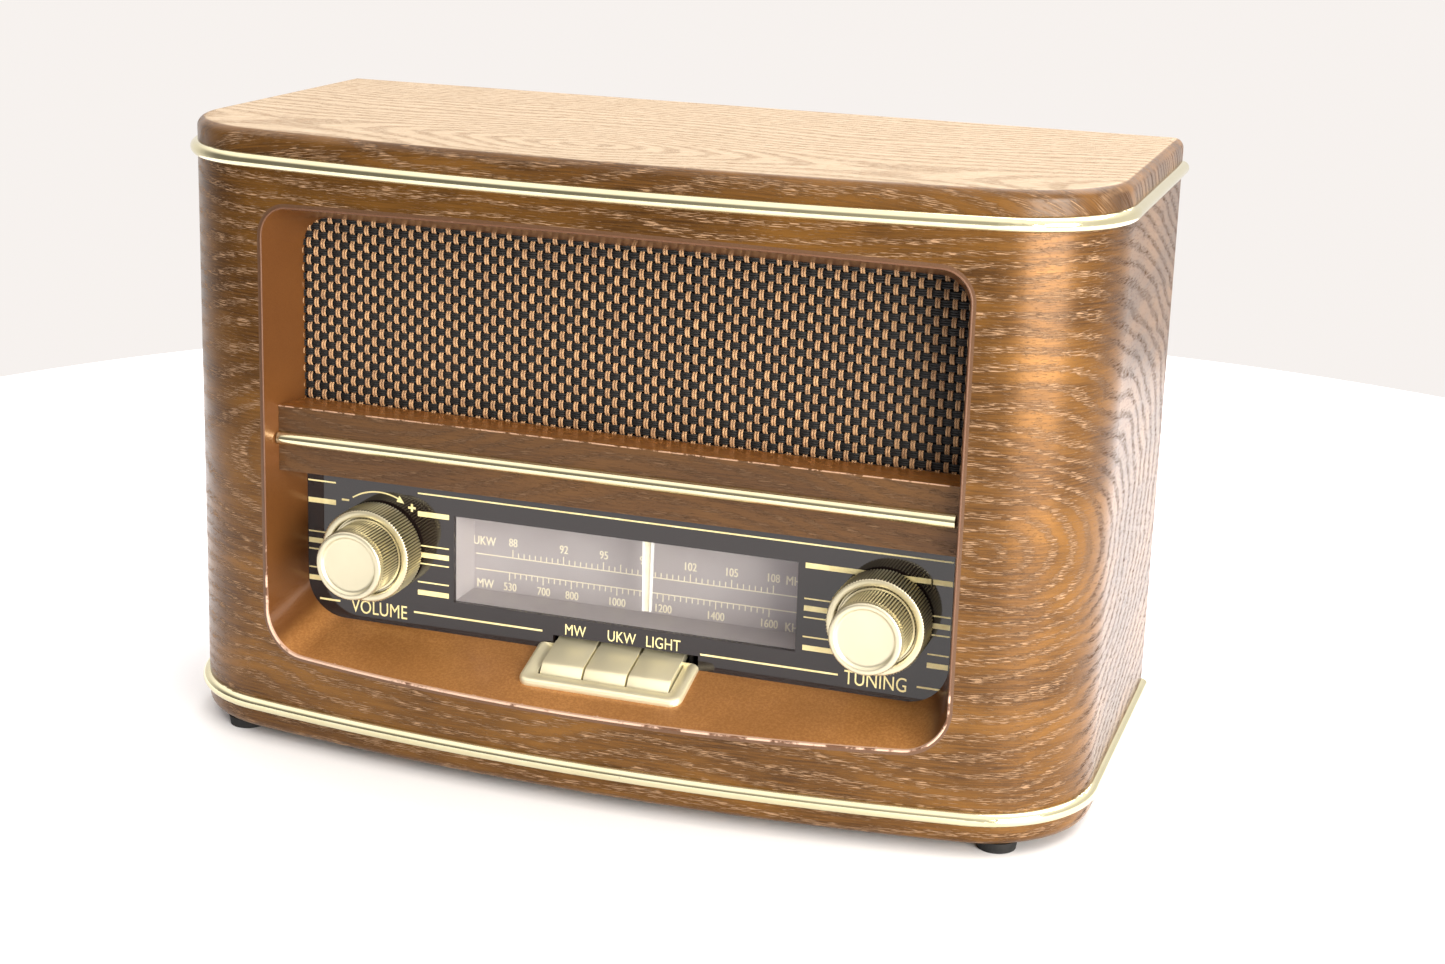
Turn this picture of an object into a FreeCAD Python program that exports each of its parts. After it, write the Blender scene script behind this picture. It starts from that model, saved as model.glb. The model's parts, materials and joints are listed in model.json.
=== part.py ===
import FreeCAD, Part
import math
import os
import Sketcher
from FreeCAD import Placement, Rotation, Vector

# Tabletop radio in a wood-veneer cabinet with a bowed front.
# Frame: +X to the listener's right, the front faces -Y, +Z up, millimetres.
# The origin is on the table, under the middle of the radio's box.

doc = FreeCAD.newDocument("tabletop_radio")
sheet = doc.addObject("Spreadsheet::Sheet", "Dims")

DIMENSIONS = [
    ("cab_width", 320, "cabinet width, side to side"),
    ("cab_depth", 152, "back edge to the bow's foremost line"),
    ("cab_height", 210, "cabinet without its feet"),
    ("bow_rad", 808, "plan radius of the bowed front"),
    ("corner_rad", 40, "plan radius of the front corners"),
    ("wall_thick", 8, "bent front-and-sides wall"),
    ("top_thick", 10.3, "top board"),
    ("base_thick", 9.4, "bottom board"),
    ("top_round", 3.5, "rounded edge of the top board"),
    ("base_round", 3.5, "rounded edge of the bottom board"),
    ("trim_rad", 2.5, "half-round gold trims"),
    ("foot_rad", 7, "rubber foot"),
    ("foot_tall", 3.5, "rubber foot"),
    ("foot_x", 135, "foot centre, either side"),
    ("foot_front", 22, "front feet, behind the bow's foremost line"),
    ("foot_back", 20, "back feet, ahead of the back edge"),
    ("dial_depth", 29.75, "dial and cloth plane behind the bow's foremost line"),
    ("open_half", 114.7, "half width of the opening at the dial plane"),
    ("open_floor", 41.3, "floor of the opening at the dial plane"),
    ("open_ceiling", 182.2, "ceiling of the opening at the dial plane"),
    ("side_slope", 0.235, "how fast the opening widens towards the front"),
    ("floor_slope", 0.336, "fall of the opening's floor towards the front"),
    ("ceiling_slope", 0.28, "rise of the opening's ceiling towards the front"),
    ("open_corner_low", 14, "lower corners of the opening"),
    ("open_corner_up", 10, "upper corners of the opening"),
    ("liner_thick", 1.6, "painted surround of the opening"),
    ("bar_low", 96.7, "divider bar, lower edge"),
    ("bar_high", 119.4, "divider bar, upper edge"),
    ("bar_depth", 13.9, "divider bar, front to back"),
    ("strip_low", 105.7, "gold strip on the bar"),
    ("strip_high", 110.5, "gold strip on the bar"),
    ("strip_proud", 2.2, "gold strip, how far it stands out"),
    ("strip_left", -117.85, "gold strip's left end"),
    ("strip_right", 117.3, "gold strip's right end"),
    ("panel_thick", 2, "printed dial panel"),
    ("panel_half", 119, "half width of the dial panel, cloth and baffle"),
    ("panel_low", 36, "dial panel's lower edge"),
    ("panel_high", 98, "dial panel's upper edge, behind the bar"),
    ("cloth_thick", 0.8, "speaker cloth"),
    ("cloth_high", 188, "speaker cloth's upper edge"),
    ("baffle_thick", 6, "baffle board"),
    ("baffle_high", 196, "baffle board's upper edge"),
    ("baffle_half", 145.4, "half width of the baffle board"),
    ("win_left", -59.2, "scale window"),
    ("win_right", 63.2, "scale window"),
    ("win_low", 52.8, "scale window"),
    ("win_high", 83.6, "scale window"),
    ("win_thick", 1.5, "scale window"),
    ("box_depth", 15, "light box behind the window, inside"),
    ("box_wall", 2, "light box wall"),
    ("box_high", 90, "light box's open top"),
    ("knob_left", -87, "volume shaft"),
    ("knob_right", 92.6, "tuning shaft"),
    ("knob_up", 69.2, "height of both shafts"),
    ("skirt_rad", 16.5, "knob skirt"),
    ("skirt_front", 12, "front of the knob's skirt, ahead of the dial"),
    ("barrel_rad", 12.2, "knob barrel"),
    ("knob_front", 24.2, "front of the knob, ahead of the dial"),
    ("disc_rad", 9.5, "dished disc of the knob's face"),
    ("knob_gap", 1.0, "air between the knob and the dial"),
    ("shaft_rad", 3, "control shafts"),
    ("run_gap", 0.05, "radial running clearance"),
    ("key_mid", 1.4, "middle of the three keys"),
    ("key_pitch", 15.5, "key to key"),
    ("key_gap", 0.4, "air between keys"),
    ("key_length", 14.4, "visible length of a key along the floor's slope"),
    ("key_proud", 2.6, "key's top above the floor"),
    ("key_nose", 3.4, "length of a key's rounded nose"),
    ("key_thick", 3.2, "key's depth"),
    ("pivot_y", -37.5, "key pivot"),
    ("pivot_z", 44.6, "key pivot"),
    ("pivot_rad", 1, "key pivot rod"),
    ("bezel_width", 57.5, "frame round the keys"),
    ("bezel_length", 20.6, "frame round the keys, along the slope"),
    ("bezel_thick", 1.9, "frame round the keys"),
    ("bezel_corner", 4, "frame round the keys"),
    ("speaker_z", 149, "loudspeaker axis"),
    ("speaker_rad", 46, "loudspeaker rim"),
    ("cone_rad", 38, "loudspeaker cone and baffle hole"),
    ("drum_x", 35, "cord drum axis"),
    ("drum_z", 64, "cord drum axis"),
    ("drum_rad", 29, "cord line on the drum"),
    ("capstan_rad", 7, "cord line on the tuning shaft"),
    ("pulley_rad", 5, "cord line on the pulleys"),
    ("pulley_x_left", -64, "left pulley"),
    ("pulley_x_right", 76, "right pulley"),
    ("pulley_z", 93.6, "pulley axes"),
    ("cord_y", -19.5, "plane of the dial cord"),
    ("cord_rad", 0.4, "dial cord"),
    ("pointer_x", 9.6, "pointer at rest"),
    ("pointer_width", 3, "pointer blade"),
    ("rail_y", -30, "pointer rail"),
    ("rail_z", 95, "pointer rail"),
    ("rail_rad", 1.5, "pointer rail"),
    ("chassis_y", -14, "front face of the chassis plate"),
    ("chassis_thick", 1.5, "chassis plate"),
    ("gang_rad", 15, "tuning capacitor vanes"),
    ("board_z", 20, "underside of the main board"),
    ("cover_thick", 3, "back cover"),
    ("cover_inset", 1.25, "back cover, ahead of the back edge"),
    ("inlet_x", -110, "mains inlet"),
    ("inlet_z", 48, "mains inlet"),
]
for row, (alias, value, note) in enumerate(DIMENSIONS, start=1):
    sheet.set(f"A{row}", note)
    sheet.set(f"B{row}", str(value))
    sheet.setAlias(f"B{row}", alias)
doc.recompute()

D = "Dims."
NODES = {}


def val(expression):
    """Number that an expression on the sheet stands for."""
    result = sheet.evalExpression(str(expression))
    return float(getattr(result, "Value", result))


def bind(obj, **expressions):
    """Bind properties to expressions; x, y, z are the placement's base."""
    for prop, expression in expressions.items():
        path = f"Placement.Base.{prop}" if prop in ("x", "y", "z") else prop
        obj.setExpression(path, str(expression))


def node(obj, label):
    """Name a finished sub-part."""
    obj.Label = label
    NODES[label] = obj
    return obj


# Lines and planes that many pieces share, as expressions on the sheet.
REAR = "(Dims.cab_depth + Dims.trim_rad) / 2"
APEX = f"({REAR} - Dims.cab_depth)"
DIAL = f"({APEX} + Dims.dial_depth)"
HALF = "Dims.cab_width / 2"
BASE_TOP = "(Dims.foot_tall + Dims.base_thick)"
CAB_TOP = "(Dims.foot_tall + Dims.cab_height)"
TOP_UNDER = f"({CAB_TOP} - Dims.top_thick)"
INNER_HALF = f"({HALF} - Dims.wall_thick)"
BOX_BACK = f"({DIAL} + Dims.panel_thick + Dims.box_depth)"
AXIS_TURN = {
    "x": Rotation(Vector(0, 1, 0), 90),
    "y": Rotation(Vector(1, 0, 0), -90),
    "z": Rotation(),
}


# ---- primitives and booleans -------------------------------------------------
def box(name, dx, dy, dz, x, y, z):
    obj = doc.addObject("Part::Box", name)
    bind(obj, Length=dx, Width=dy, Height=dz, x=x, y=y, z=z)
    return obj


def rod(name, radius, length, x, y, z, axis="z"):
    obj = doc.addObject("Part::Cylinder", name)
    obj.Placement = Placement(Vector(), AXIS_TURN[axis])
    bind(obj, Radius=radius, Height=length, x=x, y=y, z=z)
    return obj


def cone(name, radius1, radius2, length, x, y, z, axis="z"):
    obj = doc.addObject("Part::Cone", name)
    obj.Placement = Placement(Vector(), AXIS_TURN[axis])
    bind(obj, Radius1=radius1, Radius2=radius2, Height=length, x=x, y=y, z=z)
    return obj


def cut(name, base, tool):
    obj = doc.addObject("Part::Cut", name)
    obj.Base = base
    obj.Tool = tool
    return obj


def fuse(name, pieces):
    obj = doc.addObject("Part::MultiFuse", name)
    obj.Shapes = pieces
    return obj


def group(name, pieces):
    """Separate solids that share one node."""
    obj = doc.addObject("Part::Compound", name)
    obj.Links = pieces
    return obj


# ---- sketches ---------------------------------------------------------------
def arc_between(a, b, radius):
    """Shorter arc from a to b; a positive radius turns left."""
    mid = (a + b) * 0.5
    chord = b - a
    rise = math.sqrt(max(radius * radius - chord.Length ** 2 / 4, 0))
    normal = Vector(-chord.y, chord.x, 0).normalize()
    centre = mid + normal * math.copysign(rise, radius)
    start, end = (a, b) if radius > 0 else (b, a)
    angles = [math.atan2(p.y - centre.y, p.x - centre.x) for p in (start, end)]
    circle = Part.Circle(centre, Vector(0, 0, 1), abs(radius))
    return Part.ArcOfCircle(circle, angles[0], angles[1])


def outline(body, name, role, points, offset="0", is_open=False):
    """Sketch on one of the body's planes. A point is (x, y), or (x, y, radius)
    where the side that follows it is an arc; every value is an expression."""
    sketch = body.newObject("Sketcher::SketchObject", name)
    plane = next(f for f in body.Origin.OriginFeatures if f.Role == role)
    sketch.AttachmentSupport = [(plane, "")]
    sketch.MapMode = "FlatFace"
    sketch.setExpression("AttachmentOffset.Base.z", str(offset))
    corners = [Vector(val(p[0]), val(p[1]), 0) for p in points]
    count = len(points) - 1 if is_open else len(points)
    starts, ends = [], []
    for i in range(count):
        a, b = corners[i], corners[(i + 1) % len(points)]
        radius = val(points[i][2]) if len(points[i]) > 2 else 0
        side = arc_between(a, b, radius) if radius else Part.LineSegment(a, b)
        geo = sketch.addGeometry(side, False)
        starts.append((geo, 2 if radius < 0 else 1))
        ends.append((geo, 1 if radius < 0 else 2))
    for i in range(count):
        if i + 1 < count or not is_open:
            follow = starts[(i + 1) % count]
            sketch.addConstraint(Sketcher.Constraint("Coincident", *ends[i], *follow))
        fix_point(sketch, starts[i], corners[i], points[i])
        if len(points[i]) > 2:
            size = abs(val(points[i][2]))
            number = sketch.addConstraint(Sketcher.Constraint("Radius", starts[i][0], size))
            sketch.setExpression(f"Constraints[{number}]", f"abs({points[i][2]})")
    if is_open:
        fix_point(sketch, ends[-1], corners[-1], points[-1])
    return sketch


def fix_point(sketch, end, place, point):
    """Tie one corner's two coordinates to their expressions."""
    for kind, value, expression in (("DistanceX", place.x, point[0]), ("DistanceY", place.y, point[1])):
        number = sketch.addConstraint(Sketcher.Constraint(kind, -1, 1, *end, value))
        sketch.setExpression(f"Constraints[{number}]", str(expression))


def rectangle(x0, x1, y0, y1):
    return [(x0, y0), (x1, y0), (x1, y1), (x0, y1)]


def rounded(x0, x1, y0, y1, low, high):
    """Rectangle with rounded lower and upper corners, run anticlockwise."""
    return [
        (f"{x0} + {low}", y0), (f"{x1} - {low}", y0, low),
        (x1, f"{y0} + {low}"), (x1, f"{y1} - {high}", high),
        (f"{x1} - {high}", y1), (f"{x0} + {high}", y1, high),
        (x0, f"{y1} - {high}"), (x0, f"{y0} + {low}", low),
    ]


def new_body(name):
    return doc.addObject("PartDesign::Body", name)


def pad(body, name, sketch, length, reverse=False):
    feature = body.newObject("PartDesign::Pad", name)
    feature.Profile = sketch
    feature.setExpression("Length", str(length))
    feature.Reversed = reverse
    return feature


def pocket(body, name, sketch, length, reverse=False):
    """Pocket that must remove something."""
    doc.recompute()
    before = body.Shape.Volume
    feature = body.newObject("PartDesign::Pocket", name)
    feature.Profile = sketch
    feature.setExpression("Length", str(length))
    feature.Reversed = reverse
    doc.recompute()
    if not body.Shape.Volume < before - 1e-6:
        raise RuntimeError(f"{name} cuts nothing")
    return feature


def loft(body, kind, name, near, far):
    feature = body.newObject(f"PartDesign::{kind}Loft", name)
    feature.Profile = near
    feature.Sections = [far]
    feature.Ruled = True
    return feature


def turned(label, x, y, z, points):
    """Piece turned about a Y axis; points are (radius, distance along Y)."""
    body = new_body(f"{label}_body")
    sketch = outline(body, f"{label}_profile", "XY_Plane", points)
    feature = body.newObject("PartDesign::Revolution", f"{label}_turn")
    feature.Profile = sketch
    feature.ReferenceAxis = (sketch, ["V_Axis"])
    feature.Angle = 360
    bind(body, x=x, y=y, z=z)
    return body


# ---- cabinet ----------------------------------------------------------------
CORNER_X = f"({HALF} - Dims.corner_rad)"
BOW_Y = f"({APEX} + Dims.bow_rad)"
BLEND = "(Dims.bow_rad - Dims.corner_rad)"
DROP = f"sqrt({BLEND}^2 - {CORNER_X}^2)"
CORNER_Y = f"({BOW_Y} - {DROP})"


def plan(grow):
    """Right back, round the front, to left back; grow is outwards."""
    reach = f"((Dims.bow_rad + {grow}) / {BLEND})"
    side = f"{HALF} + {grow}"
    tangent_x = f"{CORNER_X} * {reach}"
    tangent_y = f"{BOW_Y} - {DROP} * {reach}"
    small, large = f"Dims.corner_rad + {grow}", f"Dims.bow_rad + {grow}"
    return [
        (side, REAR), (side, CORNER_Y, f"-({small})"),
        (tangent_x, tangent_y, f"-({large})"), (f"-({tangent_x})", tangent_y, f"-({small})"),
        (f"-({side})", CORNER_Y), (f"-({side})", REAR),
    ]


def backwards(points):
    """The same outline run the other way, arcs turning the other way too."""
    flipped = []
    for i in range(len(points) - 1, -1, -1):
        before = points[i - 1] if i > 0 else ()
        radius = (f"-({before[2]})",) if len(before) > 2 else ()
        flipped.append(points[i][:2] + radius)
    return flipped


def round_rim(body, name, height, radius):
    """Round the rim at one height, leaving the straight back edge."""
    doc.recompute()
    tip = body.Tip
    rim = []
    for i, edge in enumerate(body.Shape.Edges, start=1):
        ends = edge.BoundBox
        level = abs(ends.ZMin - height) < 0.01 and abs(ends.ZMax - height) < 0.01
        if level and ends.YMin < val(REAR) - 0.01:
            rim.append(f"Edge{i}")
    feature = body.newObject("PartDesign::Fillet", name)
    feature.Base = (tip, rim)
    feature.setExpression("Radius", radius)


def board(label, z, thick, rim_z, radius):
    body = new_body(f"{label}_body")
    sketch = outline(body, f"{label}_plan", "XY_Plane", plan("0"), z)
    pad(body, f"{label}_pad", sketch, thick)
    round_rim(body, f"{label}_rim", val(rim_z), radius)
    return body


def mouth(ahead, grow):
    """Outline of the tapered opening, some way ahead of the dial plane."""
    half = f"(Dims.open_half + Dims.side_slope * {ahead} + {grow})"
    low = f"(Dims.open_floor - Dims.floor_slope * {ahead} - {grow})"
    high = f"(Dims.open_ceiling + Dims.ceiling_slope * {ahead} + {grow})"
    return rounded(f"-{half}", half, low, high, f"(Dims.open_corner_low + {grow})",
                   f"(Dims.open_corner_up + {grow})")


def funnel(body, kind, name, grow, near="0", far="40"):
    """Tapered block between the dial plane and a plane ahead of the front."""
    first = outline(body, f"{name}_back", "XZ_Plane", mouth(near, grow), f"-({DIAL}) + {near}")
    second = outline(body, f"{name}_front", "XZ_Plane", mouth(far, grow), f"-({DIAL}) + {far}")
    return loft(body, kind, name, first, second)


wall = new_body("cabinet_wall_body")
wall_plan = plan("0") + backwards(plan("-Dims.wall_thick"))
wall_sketch = outline(wall, "wall_plan", "XY_Plane", wall_plan, BASE_TOP)
pad(wall, "wall_pad", wall_sketch, f"{TOP_UNDER} - {BASE_TOP}")
funnel(wall, "Subtractive", "wall_opening", "Dims.liner_thick")
node(wall, "cabinet_wall")

base = board("bottom_panel", "Dims.foot_tall", "Dims.base_thick", "Dims.foot_tall", "Dims.base_round")
node(board("top_panel", TOP_UNDER, "Dims.top_thick", CAB_TOP, "Dims.top_round"), "top_panel")


def trim(label, z):
    """Half-round moulding round the front and both sides."""
    body = new_body(f"{label}_body")
    path = outline(body, f"{label}_path", "XY_Plane", plan("0"), z, is_open=True)
    radius = "Dims.trim_rad"
    section = outline(body, f"{label}_section", "XZ_Plane", [
        (HALF, f"{z} - {radius}", f"{radius} * 1.0001"),
        (f"{HALF} + {radius}", z, f"{radius} * 1.0001"),
        (HALF, f"{z} + {radius}"),
    ], f"-({REAR})")
    pipe = body.newObject("PartDesign::AdditivePipe", f"{label}_pipe")
    pipe.Profile = section
    pipe.Spine = (path, [f"Edge{i}" for i in range(1, 6)])
    pipe.Transition = "Right corner"
    return body


node(trim("upper_trim", TOP_UNDER), "upper_trim")
node(trim("lower_trim", BASE_TOP), "lower_trim")

# painted surround: a tapered ring, cut back to the bowed front
liner = new_body("opening_surround_body")
funnel(liner, "Additive", "liner_outside", "Dims.liner_thick")
funnel(liner, "Subtractive", "liner_inside", "0", "-1", "41")
ahead = [(f"-({HALF})", f"{APEX} - 40"), (HALF, f"{APEX} - 40")]
bow_side_y = f"{BOW_Y} - sqrt(Dims.bow_rad^2 - ({HALF})^2)"
ahead += [(HALF, bow_side_y, "-Dims.bow_rad"), (f"-({HALF})", bow_side_y)]
pocket(liner, "liner_front", outline(liner, "ahead_of_bow", "XY_Plane", ahead), "300", True)
KEYS_LEFT = "(Dims.key_mid - 1.5 * Dims.key_pitch)"
KEYS_RIGHT = "(Dims.key_mid + 1.5 * Dims.key_pitch)"
key_well = rectangle(f"{KEYS_LEFT} - 0.4", f"{KEYS_RIGHT} + 0.4", f"{DIAL} - 15", f"{DIAL} + 1")
pocket(liner, "liner_key_well", outline(liner, "key_well", "XY_Plane", key_well), "60", True)
node(liner, "opening_surround")

# feet, with their screws up into the bottom board
foot_places = [(side, place) for side in ("-", "")
               for place in (f"{APEX} + Dims.foot_front", f"{REAR} - Dims.foot_back")]
feet, foot_screws, foot_tools = [], [], []
for i, (side, y) in enumerate(foot_places):
    x = f"{side}Dims.foot_x"
    puck = cone(f"foot_{i}", "Dims.foot_rad - 0.6", "Dims.foot_rad", "Dims.foot_tall", x, y, "0")
    head = rod(f"foot_screw_head_{i}", "3", "1.2", x, y, "1.0")
    shank = rod(f"foot_screw_shank_{i}", "1.5", "9", x, y, "2.2")
    well = rod(f"foot_well_{i}", "3", "1.0", x, y, "0")
    screw = fuse(f"foot_screw_{i}", [head, shank])
    foot_screws.append(screw)
    feet.append(cut(f"foot_bored_{i}", puck, fuse(f"foot_tool_{i}", [screw, well])))
node(group("feet_group", feet), "feet")
node(group("foot_screws_group", foot_screws), "foot_screws")
node(cut("bottom_panel_bored", base, NODES["foot_screws"]), "bottom_panel")

# ---- back -------------------------------------------------------------------
COVER_Y = f"({REAR} - Dims.cover_inset - Dims.cover_thick)"
BATTEN = "10"
battens = [box(f"batten_{i}", BATTEN, "10", f"{TOP_UNDER} - {BASE_TOP}", x, f"{COVER_Y} - 10", BASE_TOP)
           for i, x in enumerate((f"-{INNER_HALF}", f"{INNER_HALF} - {BATTEN}"))]
screws = []
for i, side in enumerate(("-", "")):
    for j, up in enumerate((25, 108, 191)):
        x = f"{side}({INNER_HALF} - 5)"
        head = rod(f"cover_head_{i}_{j}", "3.2", "1.2", x, f"{COVER_Y} + Dims.cover_thick", up, "y")
        shank = rod(f"cover_shank_{i}_{j}", "1.5", "11", x, f"{COVER_Y} + Dims.cover_thick - 11", up, "y")
        screws.append(fuse(f"cover_screw_{i}_{j}", [head, shank]))
cover_screws = node(group("cover_screws_group", screws), "cover_screws")
node(cut("battens_bored", group("battens_group", battens), cover_screws), "back_battens")

cover = new_body("back_cover_body")
cover_plate = rectangle(f"-{INNER_HALF} + 0.4", f"{INNER_HALF} - 0.4", f"{BASE_TOP} + 0.4", f"{TOP_UNDER} - 0.4")
pad(cover, "cover_pad", outline(cover, "cover_plan", "XZ_Plane", cover_plate, f"-({COVER_Y})"),
    "Dims.cover_thick", True)
SLOTS = 13
for tier, low in enumerate((120, 152)):
    slot = outline(cover, f"slot_{tier}", "XZ_Plane", rectangle("-62", "-58", low, f"{low} + 26"), f"-({COVER_Y})")
    vent = pocket(cover, f"vent_{tier}", slot, "Dims.cover_thick")
    row = cover.newObject("PartDesign::LinearPattern", f"vents_{tier}")
    row.Originals = [vent]
    row.Direction = (slot, ["H_Axis"])
    row.Length = 10 * (SLOTS - 1)
    row.Occurrences = SLOTS
    cover.Tip = row
INLET_HALF, INLET_TALL = 13, 8
hole = rectangle(f"Dims.inlet_x - {INLET_HALF}", f"Dims.inlet_x + {INLET_HALF}",
                 f"Dims.inlet_z - {INLET_TALL}", f"Dims.inlet_z + {INLET_TALL}")
pocket(cover, "inlet_hole", outline(cover, "inlet_plan", "XZ_Plane", hole, f"-({COVER_Y})"), "Dims.cover_thick")
node(cut("back_cover_bored", cover, cover_screws), "back_cover")

# figure-of-eight mains inlet: a moulded box with a two-lobed well and two pins
WELL_DEEP = "13"
inlet_body = box("inlet_block", f"{2 * INLET_HALF}", f"{WELL_DEEP} + 5", f"{2 * INLET_TALL}",
                 f"Dims.inlet_x - {INLET_HALF}", f"{COVER_Y} + Dims.cover_thick - {WELL_DEEP} - 5",
                 f"Dims.inlet_z - {INLET_TALL}")
lobes = [rod(f"inlet_lobe_{i}", "4.5", WELL_DEEP, f"Dims.inlet_x + {dx}",
             f"{COVER_Y} + Dims.cover_thick - {WELL_DEEP}", "Dims.inlet_z", "y") for i, dx in enumerate((-4.3, 4.3))]
lobes.append(box("inlet_waist", "8.6", WELL_DEEP, "9", "Dims.inlet_x - 4.3",
                 f"{COVER_Y} + Dims.cover_thick - {WELL_DEEP}", "Dims.inlet_z - 4.5"))
pins = [rod(f"inlet_pin_{i}", "1.2", "15", f"Dims.inlet_x + {dx}",
            f"{COVER_Y} + Dims.cover_thick - {WELL_DEEP} - 4", "Dims.inlet_z", "y") for i, dx in enumerate((-4.3, 4.3))]
node(group("inlet_pins_group", pins), "inlet_pins")
inlet = cut("inlet_welled", inlet_body, fuse("inlet_well", lobes))
node(cut("inlet_bored", inlet, NODES["inlet_pins"]), "mains_inlet")

# ---- front: cloth, baffle, bar, dial panel ----------------------------------
cloth = box("cloth_sheet", "2 * Dims.panel_half", "Dims.cloth_thick", "Dims.cloth_high - Dims.panel_high",
            "-Dims.panel_half", DIAL, "Dims.panel_high")
node(cloth, "speaker_cloth")
BAFFLE = f"({DIAL} + Dims.cloth_thick)"
baffle_board = box("baffle_block", "2 * Dims.baffle_half", "Dims.baffle_thick",
                   "Dims.baffle_high - Dims.panel_high - 1", "-Dims.baffle_half", BAFFLE, "Dims.panel_high + 1")
baffle_hole = rod("baffle_hole", "Dims.cone_rad", "Dims.baffle_thick", "0", BAFFLE, "Dims.speaker_z", "y")
node(cut("baffle_bored", baffle_board, baffle_hole), "baffle_board")

bar = new_body("divider_bar_body")
bar_half_back = "(Dims.open_half - 0.05)"
bar_half_front = "(Dims.open_half + Dims.side_slope * Dims.bar_depth - 0.05)"
bar_plan = [(f"-{bar_half_back}", DIAL), (f"-{bar_half_front}", f"{DIAL} - Dims.bar_depth"),
            (bar_half_front, f"{DIAL} - Dims.bar_depth"), (bar_half_back, DIAL)]
pad(bar, "bar_pad", outline(bar, "bar_plan", "XY_Plane", bar_plan, "Dims.bar_low"), "Dims.bar_high - Dims.bar_low")
node(bar, "divider_bar")

strip = new_body("divider_strip_body")
STRIP_BACK = f"({DIAL} - Dims.bar_depth)"
STRIP_FRONT = f"({STRIP_BACK} - Dims.strip_proud)"
STRIP_MID = "((Dims.strip_low + Dims.strip_high) / 2)"
strip_half = "((Dims.strip_high - Dims.strip_low) / 2)"
strip_arc = f"(({strip_half}^2 + Dims.strip_proud^2) / (2 * Dims.strip_proud))"
strip_section = [(STRIP_BACK, "Dims.strip_high", strip_arc), (STRIP_FRONT, STRIP_MID, strip_arc),
                 (STRIP_BACK, "Dims.strip_low"), (STRIP_BACK, "Dims.strip_low + 0.5"),
                 (f"{STRIP_FRONT} + 0.5", f"{STRIP_MID} - 0.9"), (f"{STRIP_FRONT} + 0.5", f"{STRIP_MID} + 0.9"),
                 (STRIP_BACK, "Dims.strip_high - 0.5")]
pad(strip, "strip_pad", outline(strip, "strip_section", "YZ_Plane", strip_section, "Dims.strip_left"),
    "Dims.strip_right - Dims.strip_left")
node(strip, "divider_strip")

panel = new_body("dial_panel_body")
panel_plate = rectangle("-Dims.panel_half", "Dims.panel_half", "Dims.panel_low", "Dims.panel_high")
pad(panel, "panel_pad", outline(panel, "panel_plan", "XZ_Plane", panel_plate, f"-({DIAL})"), "Dims.panel_thick", True)
window_hole = rectangle("Dims.win_left", "Dims.win_right", "Dims.win_low", "Dims.win_high")
key_slot = rectangle(f"{KEYS_LEFT} - 0.4", f"{KEYS_RIGHT} + 5.2", "Dims.panel_low", "Dims.open_floor + 5")
for name, shape in (("window", window_hole), ("key_slot", key_slot)):
    pocket(panel, f"panel_{name}", outline(panel, f"{name}_plan", "XZ_Plane", shape, f"-({DIAL})"), "Dims.panel_thick")
bushes = [rod(f"panel_hole_{i}", "4.5", "Dims.panel_thick", x, DIAL, "Dims.knob_up", "y")
          for i, x in enumerate(("Dims.knob_left", "Dims.knob_right"))]
node(cut("panel_bored", panel, group("panel_holes", bushes)), "dial_panel")
node(box("window_pane", "Dims.win_right - Dims.win_left", "Dims.win_thick", "Dims.win_high - Dims.win_low",
         "Dims.win_left", f"{DIAL} + 0.5", "Dims.win_low"), "scale_window")

PANEL_BACK = f"({DIAL} + Dims.panel_thick)"
box_outer = box("box_outer", "Dims.win_right - Dims.win_left + 2 * Dims.box_wall", "Dims.box_depth + Dims.box_wall",
                "Dims.box_high - Dims.win_low + Dims.box_wall", "Dims.win_left - Dims.box_wall", PANEL_BACK,
                "Dims.win_low - Dims.box_wall")
box_inner = box("box_inner", "Dims.win_right - Dims.win_left", "Dims.box_depth", "Dims.box_high - Dims.win_low",
                "Dims.win_left", PANEL_BACK, "Dims.win_low")
light_box = [cut("light_box_open", box_outer, box_inner)]
LAMP_Y = f"({BOX_BACK} - 4.2)"
lamps = []
for i, x in enumerate(("-50", "57")):
    lamps.append(rod(f"lamp_{i}", "1.8", "4", x, LAMP_Y, "Dims.box_high - 5.6"))
    light_box.append(rod(f"lamp_cup_{i}", "2.4", "2.4", x, LAMP_Y, "Dims.box_high - 1.6"))
    light_box.append(box(f"lamp_arm_{i}", "3", f"{BOX_BACK} + Dims.box_wall - {LAMP_Y}", "1.2", f"{x} - 1.5",
                         LAMP_Y, "Dims.box_high - 1.2"))
node(fuse("light_box_fused", light_box), "light_box")
node(group("lamps_group", lamps), "dial_lamps")

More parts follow.
